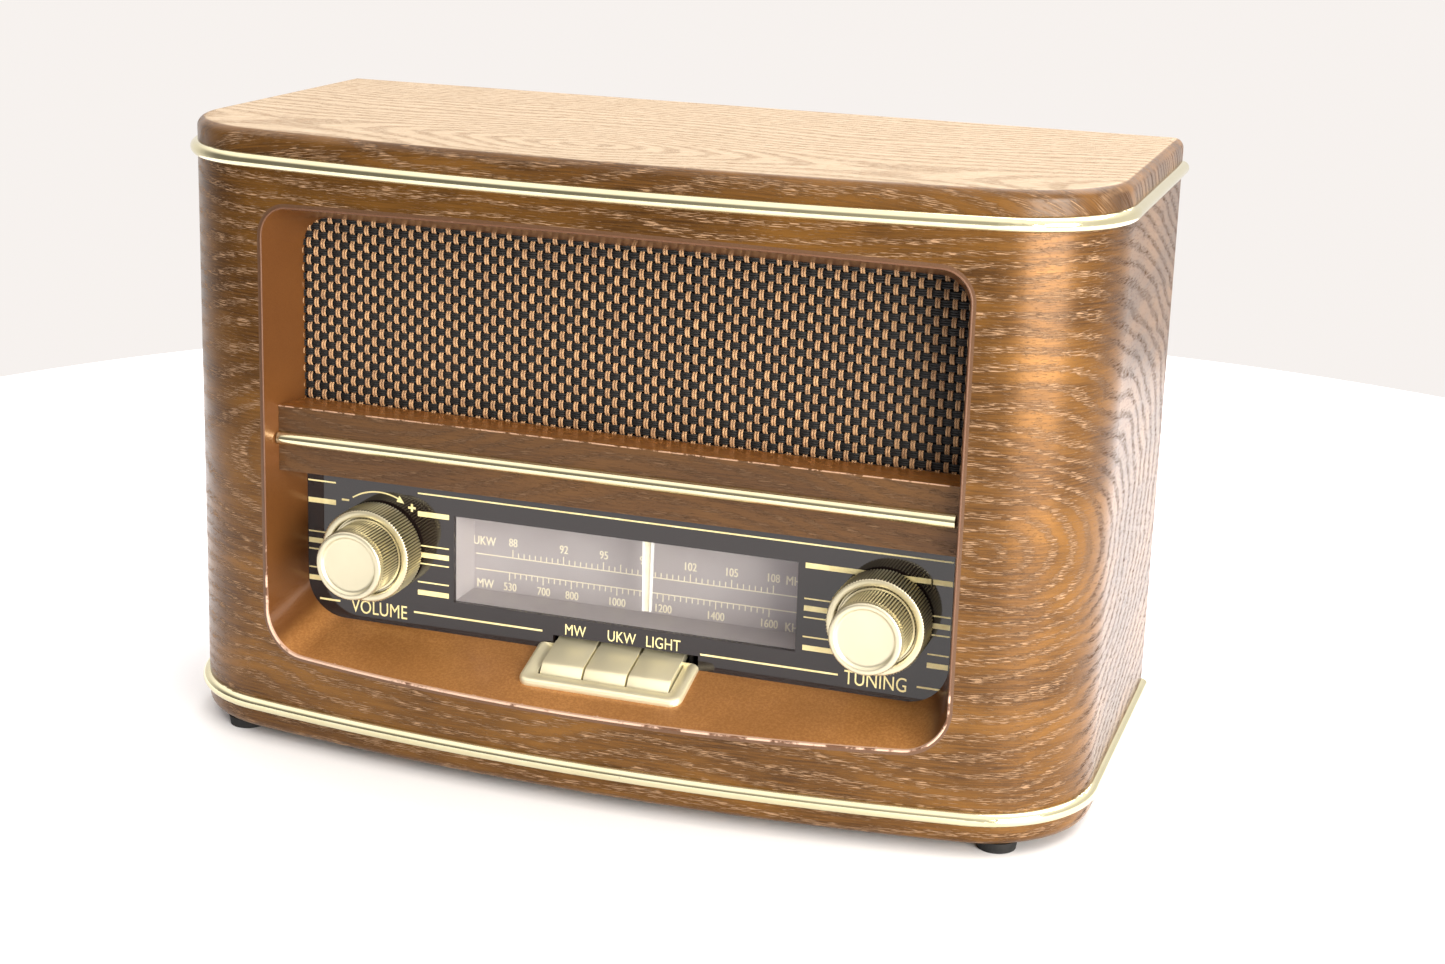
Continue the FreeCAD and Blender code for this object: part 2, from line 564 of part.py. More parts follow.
# ---- knobs, shafts, volume control ------------------------------------------
def knob(name, x):
    gap, skirt, barrel = "-Dims.knob_gap", "Dims.skirt_rad", "Dims.barrel_rad"
    rim, face = "-Dims.skirt_front", "-Dims.knob_front"
    body_points = [
        ("Dims.shaft_rad", gap), (f"{skirt} - 0.6", gap), (skirt, f"{gap} - 0.6"),
        (skirt, f"{rim} + 1.1", "-1.1"), (f"{skirt} - 1.1", rim), (f"{barrel} + 1.7", rim),
        (f"{barrel} + 1.1", f"{rim} + 0.6"), (f"{barrel} + 1.1", f"{rim} + 2.5"), (barrel, f"{rim} + 2.5"),
        (barrel, f"{face} + 3.2"), ("0", f"{face} + 3.2"), ("0", f"{face} + 5.2"), ("Dims.shaft_rad", f"{face} + 5.2"),
    ]
    cap_points = [
        ("0", f"{face} + 3.2"), (barrel, f"{face} + 3.2"), (barrel, f"{face} + 0.9", "-0.9"),
        (f"{barrel} - 0.9", face), ("Dims.disc_rad + 0.5", face), ("Dims.disc_rad", f"{face} + 0.6"),
        ("0", f"{face} + 1.1"),
    ]
    node(turned(f"{name}_knob_skirt", x, DIAL, "Dims.knob_up", backwards(body_points)), f"{name}_knob_skirt")
    node(turned(f"{name}_knob_cap", x, DIAL, "Dims.knob_up", cap_points), f"{name}_knob_cap")


knob("volume", "Dims.knob_left")
knob("tuning", "Dims.knob_right")
SHAFT_FRONT = f"({DIAL} - Dims.knob_front + 5.2)"
POT_BACK = f"({PANEL_BACK} + 13)"
node(rod("volume_shaft", "Dims.shaft_rad", f"{POT_BACK} - 2 - {SHAFT_FRONT}", "Dims.knob_left", SHAFT_FRONT,
         "Dims.knob_up", "y"), "volume_shaft")
pot_can = rod("pot_can", "12", "13", "Dims.knob_left", PANEL_BACK, "Dims.knob_up", "y")
pot_bush = rod("pot_bush", "4.4", "Dims.panel_thick + 0.5", "Dims.knob_left", f"{DIAL} - 0.5", "Dims.knob_up", "y")
pot_tags = [box(f"pot_tag_{i}", "1.6", "0.8", "6", f"Dims.knob_left + {dx - 0.8}", f"{PANEL_BACK} + 5",
                "Dims.knob_up - 17") for i, dx in enumerate((-5, 0, 5))]
pot_bore = rod("pot_bore", "Dims.shaft_rad + Dims.run_gap", f"{POT_BACK} - 1.9 - {DIAL} + 1", "Dims.knob_left",
               f"{DIAL} - 1", "Dims.knob_up", "y")
node(cut("pot_bored", fuse("pot", [pot_can, pot_bush] + pot_tags), pot_bore), "volume_pot")

CHASSIS = "Dims.chassis_y"
tuning_rod = rod("tuning_rod", "Dims.shaft_rad", f"{CHASSIS} + 8 - {SHAFT_FRONT}", "Dims.knob_right", SHAFT_FRONT,
                 "Dims.knob_up", "y")
capstan = turned("capstan", "Dims.knob_right", "Dims.cord_y", "Dims.knob_up", [
    ("2", "-2.4"), ("Dims.capstan_rad + 1", "-2.4"), ("Dims.capstan_rad + 1", "-1.6"),
    ("Dims.capstan_rad - 0.7", "-0.8"), ("Dims.capstan_rad - 0.7", "0.8"), ("Dims.capstan_rad + 1", "1.6"),
    ("Dims.capstan_rad + 1", "2.4"), ("2", "2.4")])
node(fuse("tuning_shaft_fused", [tuning_rod, capstan]), "tuning_shaft")

# ---- tuning drive: chassis plate, drum, capacitor, pulleys, cord, pointer -----
plate = box("chassis_web", "177", "Dims.chassis_thick", f"100 - {BASE_TOP}", "-75", CHASSIS, BASE_TOP)
flange = box("chassis_flange", "177", "14", "1.5", "-75", CHASSIS, BASE_TOP)
ears = [box(f"chassis_ear_{i}", "2", f"{CHASSIS} - Dims.rail_y + 4", "8", x, "Dims.rail_y - 4", "91")
        for i, x in enumerate(("-74", "87"))]
bush = rod("bush_out", "5", "7", "Dims.knob_right", f"{CHASSIS} - 0.5", "Dims.knob_up", "y")
bush_bore = rod("bush_bore", "Dims.shaft_rad + Dims.run_gap", "8", "Dims.knob_right", f"{CHASSIS} - 1", "Dims.knob_up", "y")
drum_hole = rod("drum_hole", "4", "20", "Dims.drum_x", f"{CHASSIS} - 5", "Dims.drum_z", "y")
rail = rod("rail_rod", "Dims.rail_rad", "167", "-76", "Dims.rail_y", "Dims.rail_z", "x")
node(rail, "pointer_rail")
studs = [rod(f"pulley_stud_{i}", "1.5", f"{CHASSIS} - Dims.cord_y + 3.4", x, "Dims.cord_y - 3.4", "Dims.pulley_z", "y")
         for i, x in enumerate(("Dims.pulley_x_left", "Dims.pulley_x_right"))]
chassis_solid = fuse("chassis_fused", [plate, flange, bush] + ears + studs)
chassis_tools = fuse("chassis_tools", [drum_hole, bush_bore, rail])
node(cut("chassis_bored", chassis_solid, chassis_tools), "chassis_plate")


def grooved(name, x, z, radius, bore, flange_rad):
    """Wheel with a groove for the cord."""
    return turned(name, x, "Dims.cord_y", z, [
        (bore, "-2.2"), (flange_rad, "-2.2"), (flange_rad, "-1.4"), (f"{radius} - 0.8", "-0.8"),
        (f"{radius} - 0.8", "0.8"), (flange_rad, "1.4"), (flange_rad, "2.2"), (bore, "2.2")])


drum = grooved("drum", "Dims.drum_x", "Dims.drum_z", "Dims.drum_rad", "Dims.shaft_rad", "Dims.drum_rad + 1.8")
node(drum, "cord_drum")
pulleys = [grooved(f"pulley_{side}", f"Dims.pulley_x_{side}", "Dims.pulley_z", "Dims.pulley_rad", "1.55",
                   "Dims.pulley_rad + 1.2") for side in ("left", "right")]
node(group("pulleys_group", pulleys), "cord_pulleys")

GANG_Y = f"({CHASSIS} + Dims.chassis_thick)"
VANES, VANE_PITCH = 6, 3.0


def half_disc(name, radius, inner, thick, y, turn_by):
    """Semicircular plate with a round notch; it hangs down unless turned."""
    disc = doc.addObject("Part::Cylinder", name)
    turn = Rotation(Vector(0, 1, 0), turn_by).multiply(AXIS_TURN["y"])
    disc.Placement = Placement(Vector(), turn)
    bind(disc, Radius=radius, Height=thick, Angle="180", x="Dims.drum_x", y=y, z="Dims.drum_z")
    notch = rod(f"{name}_notch", inner, f"{thick} + 2", "Dims.drum_x", f"{y} - 1", "Dims.drum_z", "y")
    return cut(f"{name}_cut", disc, notch)


rotor = [rod("rotor_shaft", "Dims.shaft_rad", "48", "Dims.drum_x", "Dims.cord_y - 3", "Dims.drum_z", "y")]
stator = [box("stator_bar", "6", "22", "3", "Dims.drum_x", f"{GANG_Y} + 1.5", "Dims.drum_z + 16")]
for i in range(VANES):
    rotor.append(half_disc(f"rotor_vane_{i}", "Dims.gang_rad", "2", "0.6", f"{GANG_Y} + {4 + VANE_PITCH * i}", 0))
    stator.append(half_disc(f"stator_vane_{i}", "Dims.gang_rad + 2", "6", "0.6",
                            f"{GANG_Y} + {4 + VANE_PITCH * (i + 0.5)}", -90))
node(fuse("rotor_fused", rotor), "tuning_rotor")
frame_plates = [box(f"gang_plate_{i}", "40", "1.5", "42", "Dims.drum_x - 20", f"{GANG_Y} + {y}", "Dims.drum_z - 20")
                for i, y in enumerate((0, 23.5))]
frame_plates.append(box("gang_foot", "40", "25", "1.5", "Dims.drum_x - 20", GANG_Y, "Dims.drum_z - 21.5"))
gang_bore = rod("gang_bore", "Dims.shaft_rad + Dims.run_gap", "30", "Dims.drum_x", f"{GANG_Y} - 1", "Dims.drum_z", "y")
node(cut("gang_frame_bored", fuse("gang_frame_fused", frame_plates), gang_bore), "tuning_frame")
node(fuse("stator_fused", stator), "tuning_stator")


def belt_wire(circles, y):
    """Closed convex belt line round circles (x, z, radius), listed clockwise
    as seen from the front."""
    tangents = []
    for i, (x1, z1, r1) in enumerate(circles):
        x2, z2, r2 = circles[(i + 1) % len(circles)]
        span = math.hypot(x2 - x1, z2 - z1)
        heading = math.atan2(z2 - z1, x2 - x1)
        normal = heading + math.pi / 2 - math.asin((r2 - r1) / span) * -1
        unit = (math.cos(normal), math.sin(normal))
        tangents.append([Vector(x + r * unit[0], y, z + r * unit[1]) for x, z, r in ((x1, z1, r1), (x2, z2, r2))])
    edges = []
    for i, (x, z, r) in enumerate(circles):
        arrive, leave = tangents[i - 1][1], tangents[i][0]
        middle = (arrive + leave) * 0.5 - Vector(x, y, z)
        top = Vector(x, y, z) + middle.normalize() * r
        edges.append(Part.Arc(arrive, top, leave).toShape())
        edges.append(Part.LineSegment(*tangents[i]).toShape())
    return Part.Wire(edges)


cord_circles = [
    (val("Dims.pulley_x_left"), val("Dims.pulley_z"), val("Dims.pulley_rad")),
    (val("Dims.pulley_x_right"), val("Dims.pulley_z"), val("Dims.pulley_rad")),
    (val("Dims.knob_right"), val("Dims.knob_up"), val("Dims.capstan_rad")),
    (val("Dims.drum_x"), val("Dims.drum_z"), val("Dims.drum_rad")),
]
cord_line = belt_wire(cord_circles, val("Dims.cord_y"))
start = cord_line.Edges[1]
ring = Part.Circle(start.Vertexes[0].Point, start.tangentAt(start.FirstParameter), val("Dims.cord_rad"))
cord = doc.addObject("Part::Feature", "dial_cord_solid")
cord.Shape = Part.Wire(Part.Wire(cord_line.Edges[1:] + cord_line.Edges[:1]).Edges).makePipeShell(
    [Part.Wire([ring.toShape()])], True, False)
node(cord, "dial_cord")

blade = box("pointer_blade", "Dims.pointer_width", "1.2", "Dims.rail_z - 2 - Dims.win_low - 5",
            "Dims.pointer_x - Dims.pointer_width / 2", f"{PANEL_BACK} + 2", "Dims.win_low + 5")
front_arm = box("pointer_arm", "Dims.pointer_width", f"Dims.rail_y - {PANEL_BACK} - 2", "1.5",
                "Dims.pointer_x - Dims.pointer_width / 2", f"{PANEL_BACK} + 2", "Dims.rail_z - 3.5")
carriage = box("pointer_carriage", "14", "7", "6", "Dims.pointer_x - 7", "Dims.rail_y - 3.5", "Dims.rail_z - 3.5")
rear_arm = box("pointer_rear_arm", "4", "Dims.cord_y - Dims.rail_y + 1", "1.2", "Dims.pointer_x - 2", "Dims.rail_y",
               "Dims.rail_z + 1.3")
slide_bore = rod("slide_bore", "Dims.rail_rad + Dims.run_gap", "16", "Dims.pointer_x - 8", "Dims.rail_y",
                 "Dims.rail_z", "x")
node(cut("pointer_bored", fuse("pointer_fused", [blade, front_arm, carriage, rear_arm]), slide_bore), "dial_pointer")

# ---- keys --------------------------------------------------------------------
SLOPE = "atan(Dims.floor_slope)"
COSINE = f"cos({SLOPE})"


def on_slope(along, above):
    """Point (y, z) of the key section: along the floor from the dial plane,
    forward positive, and square above it."""
    y = f"({DIAL} - ({along}) * {COSINE} - ({above}) * sin({SLOPE}))"
    z = f"(Dims.open_floor - ({along}) * sin({SLOPE}) + ({above}) * {COSINE})"
    return y, z


def key(label, number):
    body = new_body(f"{label}_body")
    left = f"{KEYS_LEFT} + {number} * Dims.key_pitch + Dims.key_gap / 2"
    flat = "Dims.key_length - Dims.key_nose"
    under = "(Dims.key_proud - Dims.key_thick)"
    nose = "4.6"
    section = [
        on_slope("0", under) , on_slope(flat, under), on_slope("Dims.key_length", under),
        on_slope("Dims.key_length", "0.1") + (f"-{nose}",), on_slope(flat, "Dims.key_proud"),
        on_slope("0", "Dims.key_proud"), ("Dims.pivot_y - 1", "Dims.pivot_z + 1.9"),
        ("Dims.pivot_y + 1.9", "Dims.pivot_z + 1.9"), ("Dims.pivot_y + 1.9", "Dims.pivot_z - 1.9"),
        ("Dims.pivot_y - 2", "Dims.pivot_z - 1.9"),
    ]
    pad(body, f"{label}_pad", outline(body, f"{label}_section", "YZ_Plane", section, left),
        "Dims.key_pitch - Dims.key_gap")
    middle = f"{KEYS_LEFT} + ({number} + 0.5) * Dims.key_pitch"
    stem = rod(f"{label}_stem", "1.2", "11", middle, f"{DIAL} - 7", "28.5")
    bore = rod(f"{label}_bore", "Dims.pivot_rad + Dims.run_gap", "20", f"{left} - 2", "Dims.pivot_y", "Dims.pivot_z", "x")
    return node(cut(f"{label}_bored", fuse(f"{label}_fused", [body, stem]), bore), label)


for number, name in enumerate(("mw", "ukw", "light")):
    key(f"key_{name}", number)

bezel = new_body("key_bezel_body")
b_half = "Dims.bezel_width / 2"
corner = "Dims.bezel_corner"
ring_plan = [
    (f"-({b_half}) + {corner}", "-Dims.bezel_length"), (f"{b_half} - {corner}", "-Dims.bezel_length", corner),
    (b_half, f"-Dims.bezel_length + {corner}"), (b_half, "-0.1"),
    (f"-({b_half})", "-0.1"), (f"-({b_half})", f"-Dims.bezel_length + {corner}", corner),
]
pad(bezel, "bezel_pad", outline(bezel, "bezel_plan", "XY_Plane", ring_plan), "Dims.bezel_thick")
hole_half = "1.5 * Dims.key_pitch + 0.2"
hole_plan = rectangle(f"-({hole_half})", hole_half, "-Dims.key_length - 0.5", "-0.05")
pocket(bezel, "bezel_hole", outline(bezel, "bezel_hole_plan", "XY_Plane", hole_plan), "Dims.bezel_thick", True)
doc.recompute()
upper, frame_flat = [], bezel.Tip
for i, edge in enumerate(bezel.Shape.Edges, start=1):
    limits = edge.BoundBox
    on_top = limits.ZMin > val("Dims.bezel_thick") - 0.01
    front = limits.YMin < -val("Dims.key_length") - 1
    side = min(abs(limits.XMin), abs(limits.XMax)) > val(hole_half) + 2
    if on_top and (front or side):
        upper.append(f"Edge{i}")
soften = bezel.newObject("PartDesign::Fillet", "bezel_round")
soften.Base = (frame_flat, upper)
soften.Radius = 1.4
bezel.Placement = Placement(Vector(), Rotation(Vector(1, 0, 0), math.degrees(math.atan(val("Dims.floor_slope")))))
bind(bezel, x="Dims.key_mid", y=DIAL, z="Dims.open_floor")
node(bezel, "key_bezel")

SPRING_FOOT = "30"
bank = box("bank_block", "3 * Dims.key_pitch", "13", f"{SPRING_FOOT} - {BASE_TOP}", KEYS_LEFT, f"{DIAL} - 13", BASE_TOP)
slots = [box(f"bank_slot_{i}", "3.4", "8", "8", f"{KEYS_LEFT} + {i + 0.5} * Dims.key_pitch - 1.7", f"{DIAL} - 9",
             f"{SPRING_FOOT} - 8") for i in range(3)]
posts = [box(f"pivot_post_{i}", "1.4", "6", f"Dims.pivot_z + 3 - {BASE_TOP}", x, "Dims.pivot_y - 3", BASE_TOP)
         for i, x in enumerate((f"{KEYS_LEFT} - 2", f"{KEYS_RIGHT} + 0.6"))]
bank_base = box("bank_base", "3 * Dims.key_pitch + 4", "12", "2.5", f"{KEYS_LEFT} - 2", f"{DIAL} - 1.5", BASE_TOP)
pivot = rod("pivot_wire", "Dims.pivot_rad", "3 * Dims.key_pitch + 5", f"{KEYS_LEFT} - 2.5", "Dims.pivot_y",
            "Dims.pivot_z", "x")
node(pivot, "key_pivot_rod")
bank_tools = group("bank_tools", slots + [pivot])
node(cut("bank_bored", fuse("bank_fused", [bank, bank_base] + posts), bank_tools), "switch_bank")

for number, name in enumerate(("mw", "ukw", "light")):
    height = val(on_slope("7 / " + COSINE, "(Dims.key_proud - Dims.key_thick)")[1]) - 1.8 - val(SPRING_FOOT)
    helix = Part.makeHelix(height / 3, height, 2.2)
    profile = Part.Wire([Part.Circle(Vector(2.2, 0, 0), Vector(0, 1, 0), 0.35).toShape()])
    coil = doc.addObject("Part::Feature", f"key_spring_{name}_wire")
    coil.Shape = Part.Wire(helix.Edges).makePipeShell([profile], True, True)
    middle = val(KEYS_LEFT) + (number + 0.5) * val("Dims.key_pitch")
    coil.Placement = Placement(Vector(middle, val(DIAL) - 7, val(SPRING_FOOT) + 0.4), Rotation())
    node(coil, f"key_spring_{name}")

# ---- loudspeaker --------------------------------------------------------------
SPK = f"({BAFFLE} + Dims.baffle_thick)"
SPEAKER = ("0", SPK, "Dims.speaker_z")
node(turned("speaker_basket", *SPEAKER, [
    ("Dims.cone_rad", "0"), ("Dims.speaker_rad", "0"), ("Dims.speaker_rad", "2"), ("Dims.cone_rad + 2", "2"),
    ("21", "24"), ("12", "24"), ("12", "22.5"), ("19.5", "22.5"), ("Dims.cone_rad", "1.5")]), "speaker_basket")
node(turned("speaker_surround", *SPEAKER, [
    ("Dims.cone_rad - 6", "0"), ("Dims.cone_rad - 3", "-2"), ("Dims.cone_rad - 0.2", "0"),
    ("Dims.cone_rad - 0.2", "0.9"), ("Dims.cone_rad - 3", "-1"), ("Dims.cone_rad - 6", "1")]), "speaker_surround")
node(turned("speaker_cone", *SPEAKER, [
    ("Dims.cone_rad - 6", "0"), ("Dims.cone_rad - 6", "1"), ("10.6", "20"), ("10.6", "22.4"), ("10", "22.4"),
    ("10", "19.4"), ("12.4", "17.2"), ("0", "13.5"), ("0", "12.7"), ("13.2", "16.4")]), "speaker_cone")
node(rod("magnet_ring", "27", "12", "0", f"{SPK} + 24", "Dims.speaker_z", "y"), "speaker_magnet")

# ---- electronics ----------------------------------------------------------------
board_x, board_y = ("-60", "160"), ("14", "52")
pcb = box("pcb", board_x[1], board_y[1], "1.6", board_x[0], board_y[0], "Dims.board_z")
node(pcb, "main_board")
corners = [(x, y) for x in ("-55", "95") for y in ("19", "61")]
posts = [rod(f"standoff_{i}", "3", f"Dims.board_z - {BASE_TOP}", x, y, BASE_TOP) for i, (x, y) in enumerate(corners)]
node(group("standoffs_group", posts), "board_standoffs")
heads = [rod(f"board_screw_{i}", "2.8", "1.8", x, y, "Dims.board_z + 1.6") for i, (x, y) in enumerate(corners)]
node(group("board_screws_group", heads), "board_screws")
caps = [rod(f"capacitor_{i}", f"{radius}", f"{height}", f"{x}", f"{y}", "Dims.board_z + 1.6")
        for i, (x, y, radius, height) in enumerate(
            ((-40, 30, 8, 24), (-20, 30, 8, 24), (-40, 52, 5, 14), (-22, 52, 5, 14), (0, 55, 4, 11), (78, 55, 4, 11)))]
node(group("capacitors_group", caps), "capacitors")
cans = [box(f"coil_can_{i}", "8", "8", "11", f"{x}", f"{y}", "Dims.board_z + 1.6")
        for i, (x, y) in enumerate(((15, 48), (28, 48), (41, 48), (54, 48)))]
node(group("coil_cans_group", cans), "coil_cans")
core_x, core_y = -128, 14
limbs = [box("core_lower", "46", "16", "8", core_x, core_y + 10, BASE_TOP),
         box("core_upper", "46", "16", "8", core_x, core_y + 10, f"{BASE_TOP} + 32"),
         box("core_left", "8", "16", "40", core_x, core_y + 10, BASE_TOP),
         box("core_right", "8", "16", "40", core_x + 38, core_y + 10, BASE_TOP),
         box("core_middle", "10", "16", "40", core_x + 18, core_y + 10, BASE_TOP)]
core = node(fuse("core_fused", limbs), "transformer_core")
winding = box("winding_block", "29", "34", "23", core_x + 8.5, core_y + 1, f"{BASE_TOP} + 8.5")
core_hole = box("winding_hole", "10", "34", "23", core_x + 18, core_y + 10, f"{BASE_TOP} + 8.5")
core_hole.setExpression("Width", "16")
node(cut("winding_bored", winding, core_hole), "transformer_winding")

ROD_Y, ROD_Z = "52", "190"
node(rod("ferrite", "5", "140", "-70", ROD_Y, ROD_Z, "x"), "ferrite_rod")
coils = []
for i, (x, length) in enumerate((("-55", "26"), ("30", "18"))):
    outer = rod(f"aerial_coil_outer_{i}", "6.4", length, x, ROD_Y, ROD_Z, "x")
    inner = rod(f"aerial_coil_inner_{i}", "5", length, x, ROD_Y, ROD_Z, "x")
    coils.append(cut(f"aerial_coil_{i}", outer, inner))
node(group("aerial_coils_group", coils), "aerial_coils")
clips = []
for i, x in enumerate(("-20", "14")):
    block = box(f"clip_block_{i}", "6", "16", f"{TOP_UNDER} - {ROD_Z} + 7", x, f"{ROD_Y} - 8", f"{ROD_Z} - 7")
    clips.append(cut(f"clip_{i}", block, rod(f"clip_bore_{i}", "5", "8", f"{x} - 1", ROD_Y, ROD_Z, "x")))
node(group("clips_group", clips), "rod_clips")


# ---- check and write ----------------------------------------------------------
doc.recompute()
faults = [f"{o.Name} {o.State}" for o in doc.Objects if "Invalid" in o.State or "Error" in o.State]
for label, obj in NODES.items():
    shape = obj.Shape
    if shape.isNull() or not shape.isValid() or not shape.Solids:
        faults.append(f"{label} has no valid solid")
if faults:
    raise RuntimeError("; ".join(faults))
os.makedirs("parts", exist_ok=True)
for label, obj in NODES.items():
    obj.Shape.exportStep(f"parts/{label}.step")
    limits = obj.Shape.BoundBox
    print(f"{label:22s} solids {len(obj.Shape.Solids)} volume {obj.Shape.Volume:10.1f} "
          f"x {limits.XMin:7.2f} {limits.XMax:7.2f} y {limits.YMin:7.2f} {limits.YMax:7.2f} "
          f"z {limits.ZMin:7.2f} {limits.ZMax:7.2f}")
print(len(NODES), "nodes; cord length", round(cord_line.Length, 1))
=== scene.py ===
import json
import math
import random

import bmesh
import bpy
from mathutils import Matrix, Vector


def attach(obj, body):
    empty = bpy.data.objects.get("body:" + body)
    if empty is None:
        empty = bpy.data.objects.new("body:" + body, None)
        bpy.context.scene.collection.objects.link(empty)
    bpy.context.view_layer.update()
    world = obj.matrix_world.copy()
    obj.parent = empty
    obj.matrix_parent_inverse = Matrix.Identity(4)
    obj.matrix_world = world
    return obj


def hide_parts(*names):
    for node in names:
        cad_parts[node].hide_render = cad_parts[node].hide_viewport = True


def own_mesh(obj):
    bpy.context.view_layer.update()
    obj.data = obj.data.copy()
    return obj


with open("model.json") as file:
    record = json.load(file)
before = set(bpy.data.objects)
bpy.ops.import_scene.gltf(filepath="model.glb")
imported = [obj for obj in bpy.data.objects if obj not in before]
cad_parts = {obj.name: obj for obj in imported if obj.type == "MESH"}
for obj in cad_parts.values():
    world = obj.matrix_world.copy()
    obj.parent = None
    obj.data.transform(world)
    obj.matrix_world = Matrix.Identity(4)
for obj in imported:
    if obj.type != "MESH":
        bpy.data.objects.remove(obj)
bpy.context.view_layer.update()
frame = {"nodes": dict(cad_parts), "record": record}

MM = 0.001
NODES = frame["nodes"]

# The cabinet's own lines, in millimetres, in the row frame.
APEX_Y = -74.75
DIAL_Y = APEX_Y + 29.75
BOW = 808.0
BOW_Y = APEX_Y + BOW
KNOB_Z = 69.2
SKIRT_RIBS, BARREL_RIBS, CAP_RIBS = 96, 72, 76
KNOBS = {"volume": -87.0, "tuning": 92.6}
FLOOR_Z, FLOOR_FALL = 41.3, 0.336
SLOPE = math.atan(FLOOR_FALL)
BOX_BACK_Y = DIAL_Y + 17.0


# ---- shader trees -------------------------------------------------------------
class Tree:
    """A material's node tree, built by small calls that return sockets."""

    def __init__(self, name):
        self.material = bpy.data.materials.new(name)
        self.material.use_nodes = True
        self.nodes = self.material.node_tree.nodes
        self.links = self.material.node_tree.links
        self.nodes.clear()
        self.bsdf = self.nodes.new("ShaderNodeBsdfPrincipled")
        self.out = self.nodes.new("ShaderNodeOutputMaterial")
        self.links.new(self.bsdf.outputs[0], self.out.inputs[0])

    def put(self, socket, value):
        if isinstance(value, bpy.types.NodeSocket):
            self.links.new(value, socket)
        elif value is not None:
            socket.default_value = value

    def node(self, kind, *values, **settings):
        new = self.nodes.new(kind)
        for key, value in settings.items():
            setattr(new, key, value)
        for socket, value in zip(new.inputs, values):
            self.put(socket, value)
        return new

    def math(self, operation, a, b=0.0, clamp=False):
        return self.node("ShaderNodeMath", a, b, operation=operation, use_clamp=clamp).outputs[0]

    def place(self, scale=1000.0):
        """Position in the row frame, in millimetres."""
        coordinate = self.node("ShaderNodeTexCoord")
        return self.node("ShaderNodeVectorMath", coordinate.outputs["Object"], (scale,) * 3,
                         operation="MULTIPLY").outputs[0]

    def split(self, vector):
        return self.node("ShaderNodeSeparateXYZ", vector).outputs

    def join(self, x, y, z=0.0):
        return self.node("ShaderNodeCombineXYZ", x, y, z).outputs[0]

    def noise(self, vector, scale=1.0, detail=2.0, rough=0.5, distortion=0.0):
        new = self.node("ShaderNodeTexNoise")
        for name, value in (("Vector", vector), ("Scale", scale), ("Detail", detail), ("Roughness", rough),
                            ("Distortion", distortion)):
            self.put(new.inputs[name], value)
        return new.outputs[0]

    def step(self, value, low, high, to_low=0.0, to_high=1.0):
        """Smooth change from to_low to_high as value goes from low to high."""
        new = self.node("ShaderNodeMapRange", value, low, high, to_low, to_high, interpolation_type="SMOOTHSTEP")
        return new.outputs[0]

    def mix(self, factor, a, b):
        new = self.node("ShaderNodeMix", data_type="RGBA")
        for index, value in ((0, factor), (6, a), (7, b)):
            if isinstance(value, tuple) and len(value) == 3:
                value = (*value, 1.0)
            self.put(new.inputs[index], value)
        return new.outputs[2]

    def bump(self, height, distance_mm, strength=1.0):
        new = self.node("ShaderNodeBump")
        new.inputs["Strength"].default_value = strength
        new.inputs["Distance"].default_value = distance_mm * MM
        self.links.new(height, new.inputs["Height"])
        self.links.new(new.outputs[0], self.bsdf.inputs["Normal"])

    def finish(self, **values):
        for name, value in values.items():
            self.put(self.bsdf.inputs[name.replace("_", " ")], value)
        return self.material


def rgb(red, green, blue):
    """Linear colour from 0-255 display values."""
    channels = [c / 255 for c in (red, green, blue)]
    return tuple(c / 12.92 if c <= 0.04045 else ((c + 0.055) / 1.055) ** 2.4 for c in channels)


# ---- materials ----------------------------------------------------------------
HEART_U, HEART_PERIOD, HEART_Z = 139.0, 209.0, 84.0
RING_PITCH = 4.9


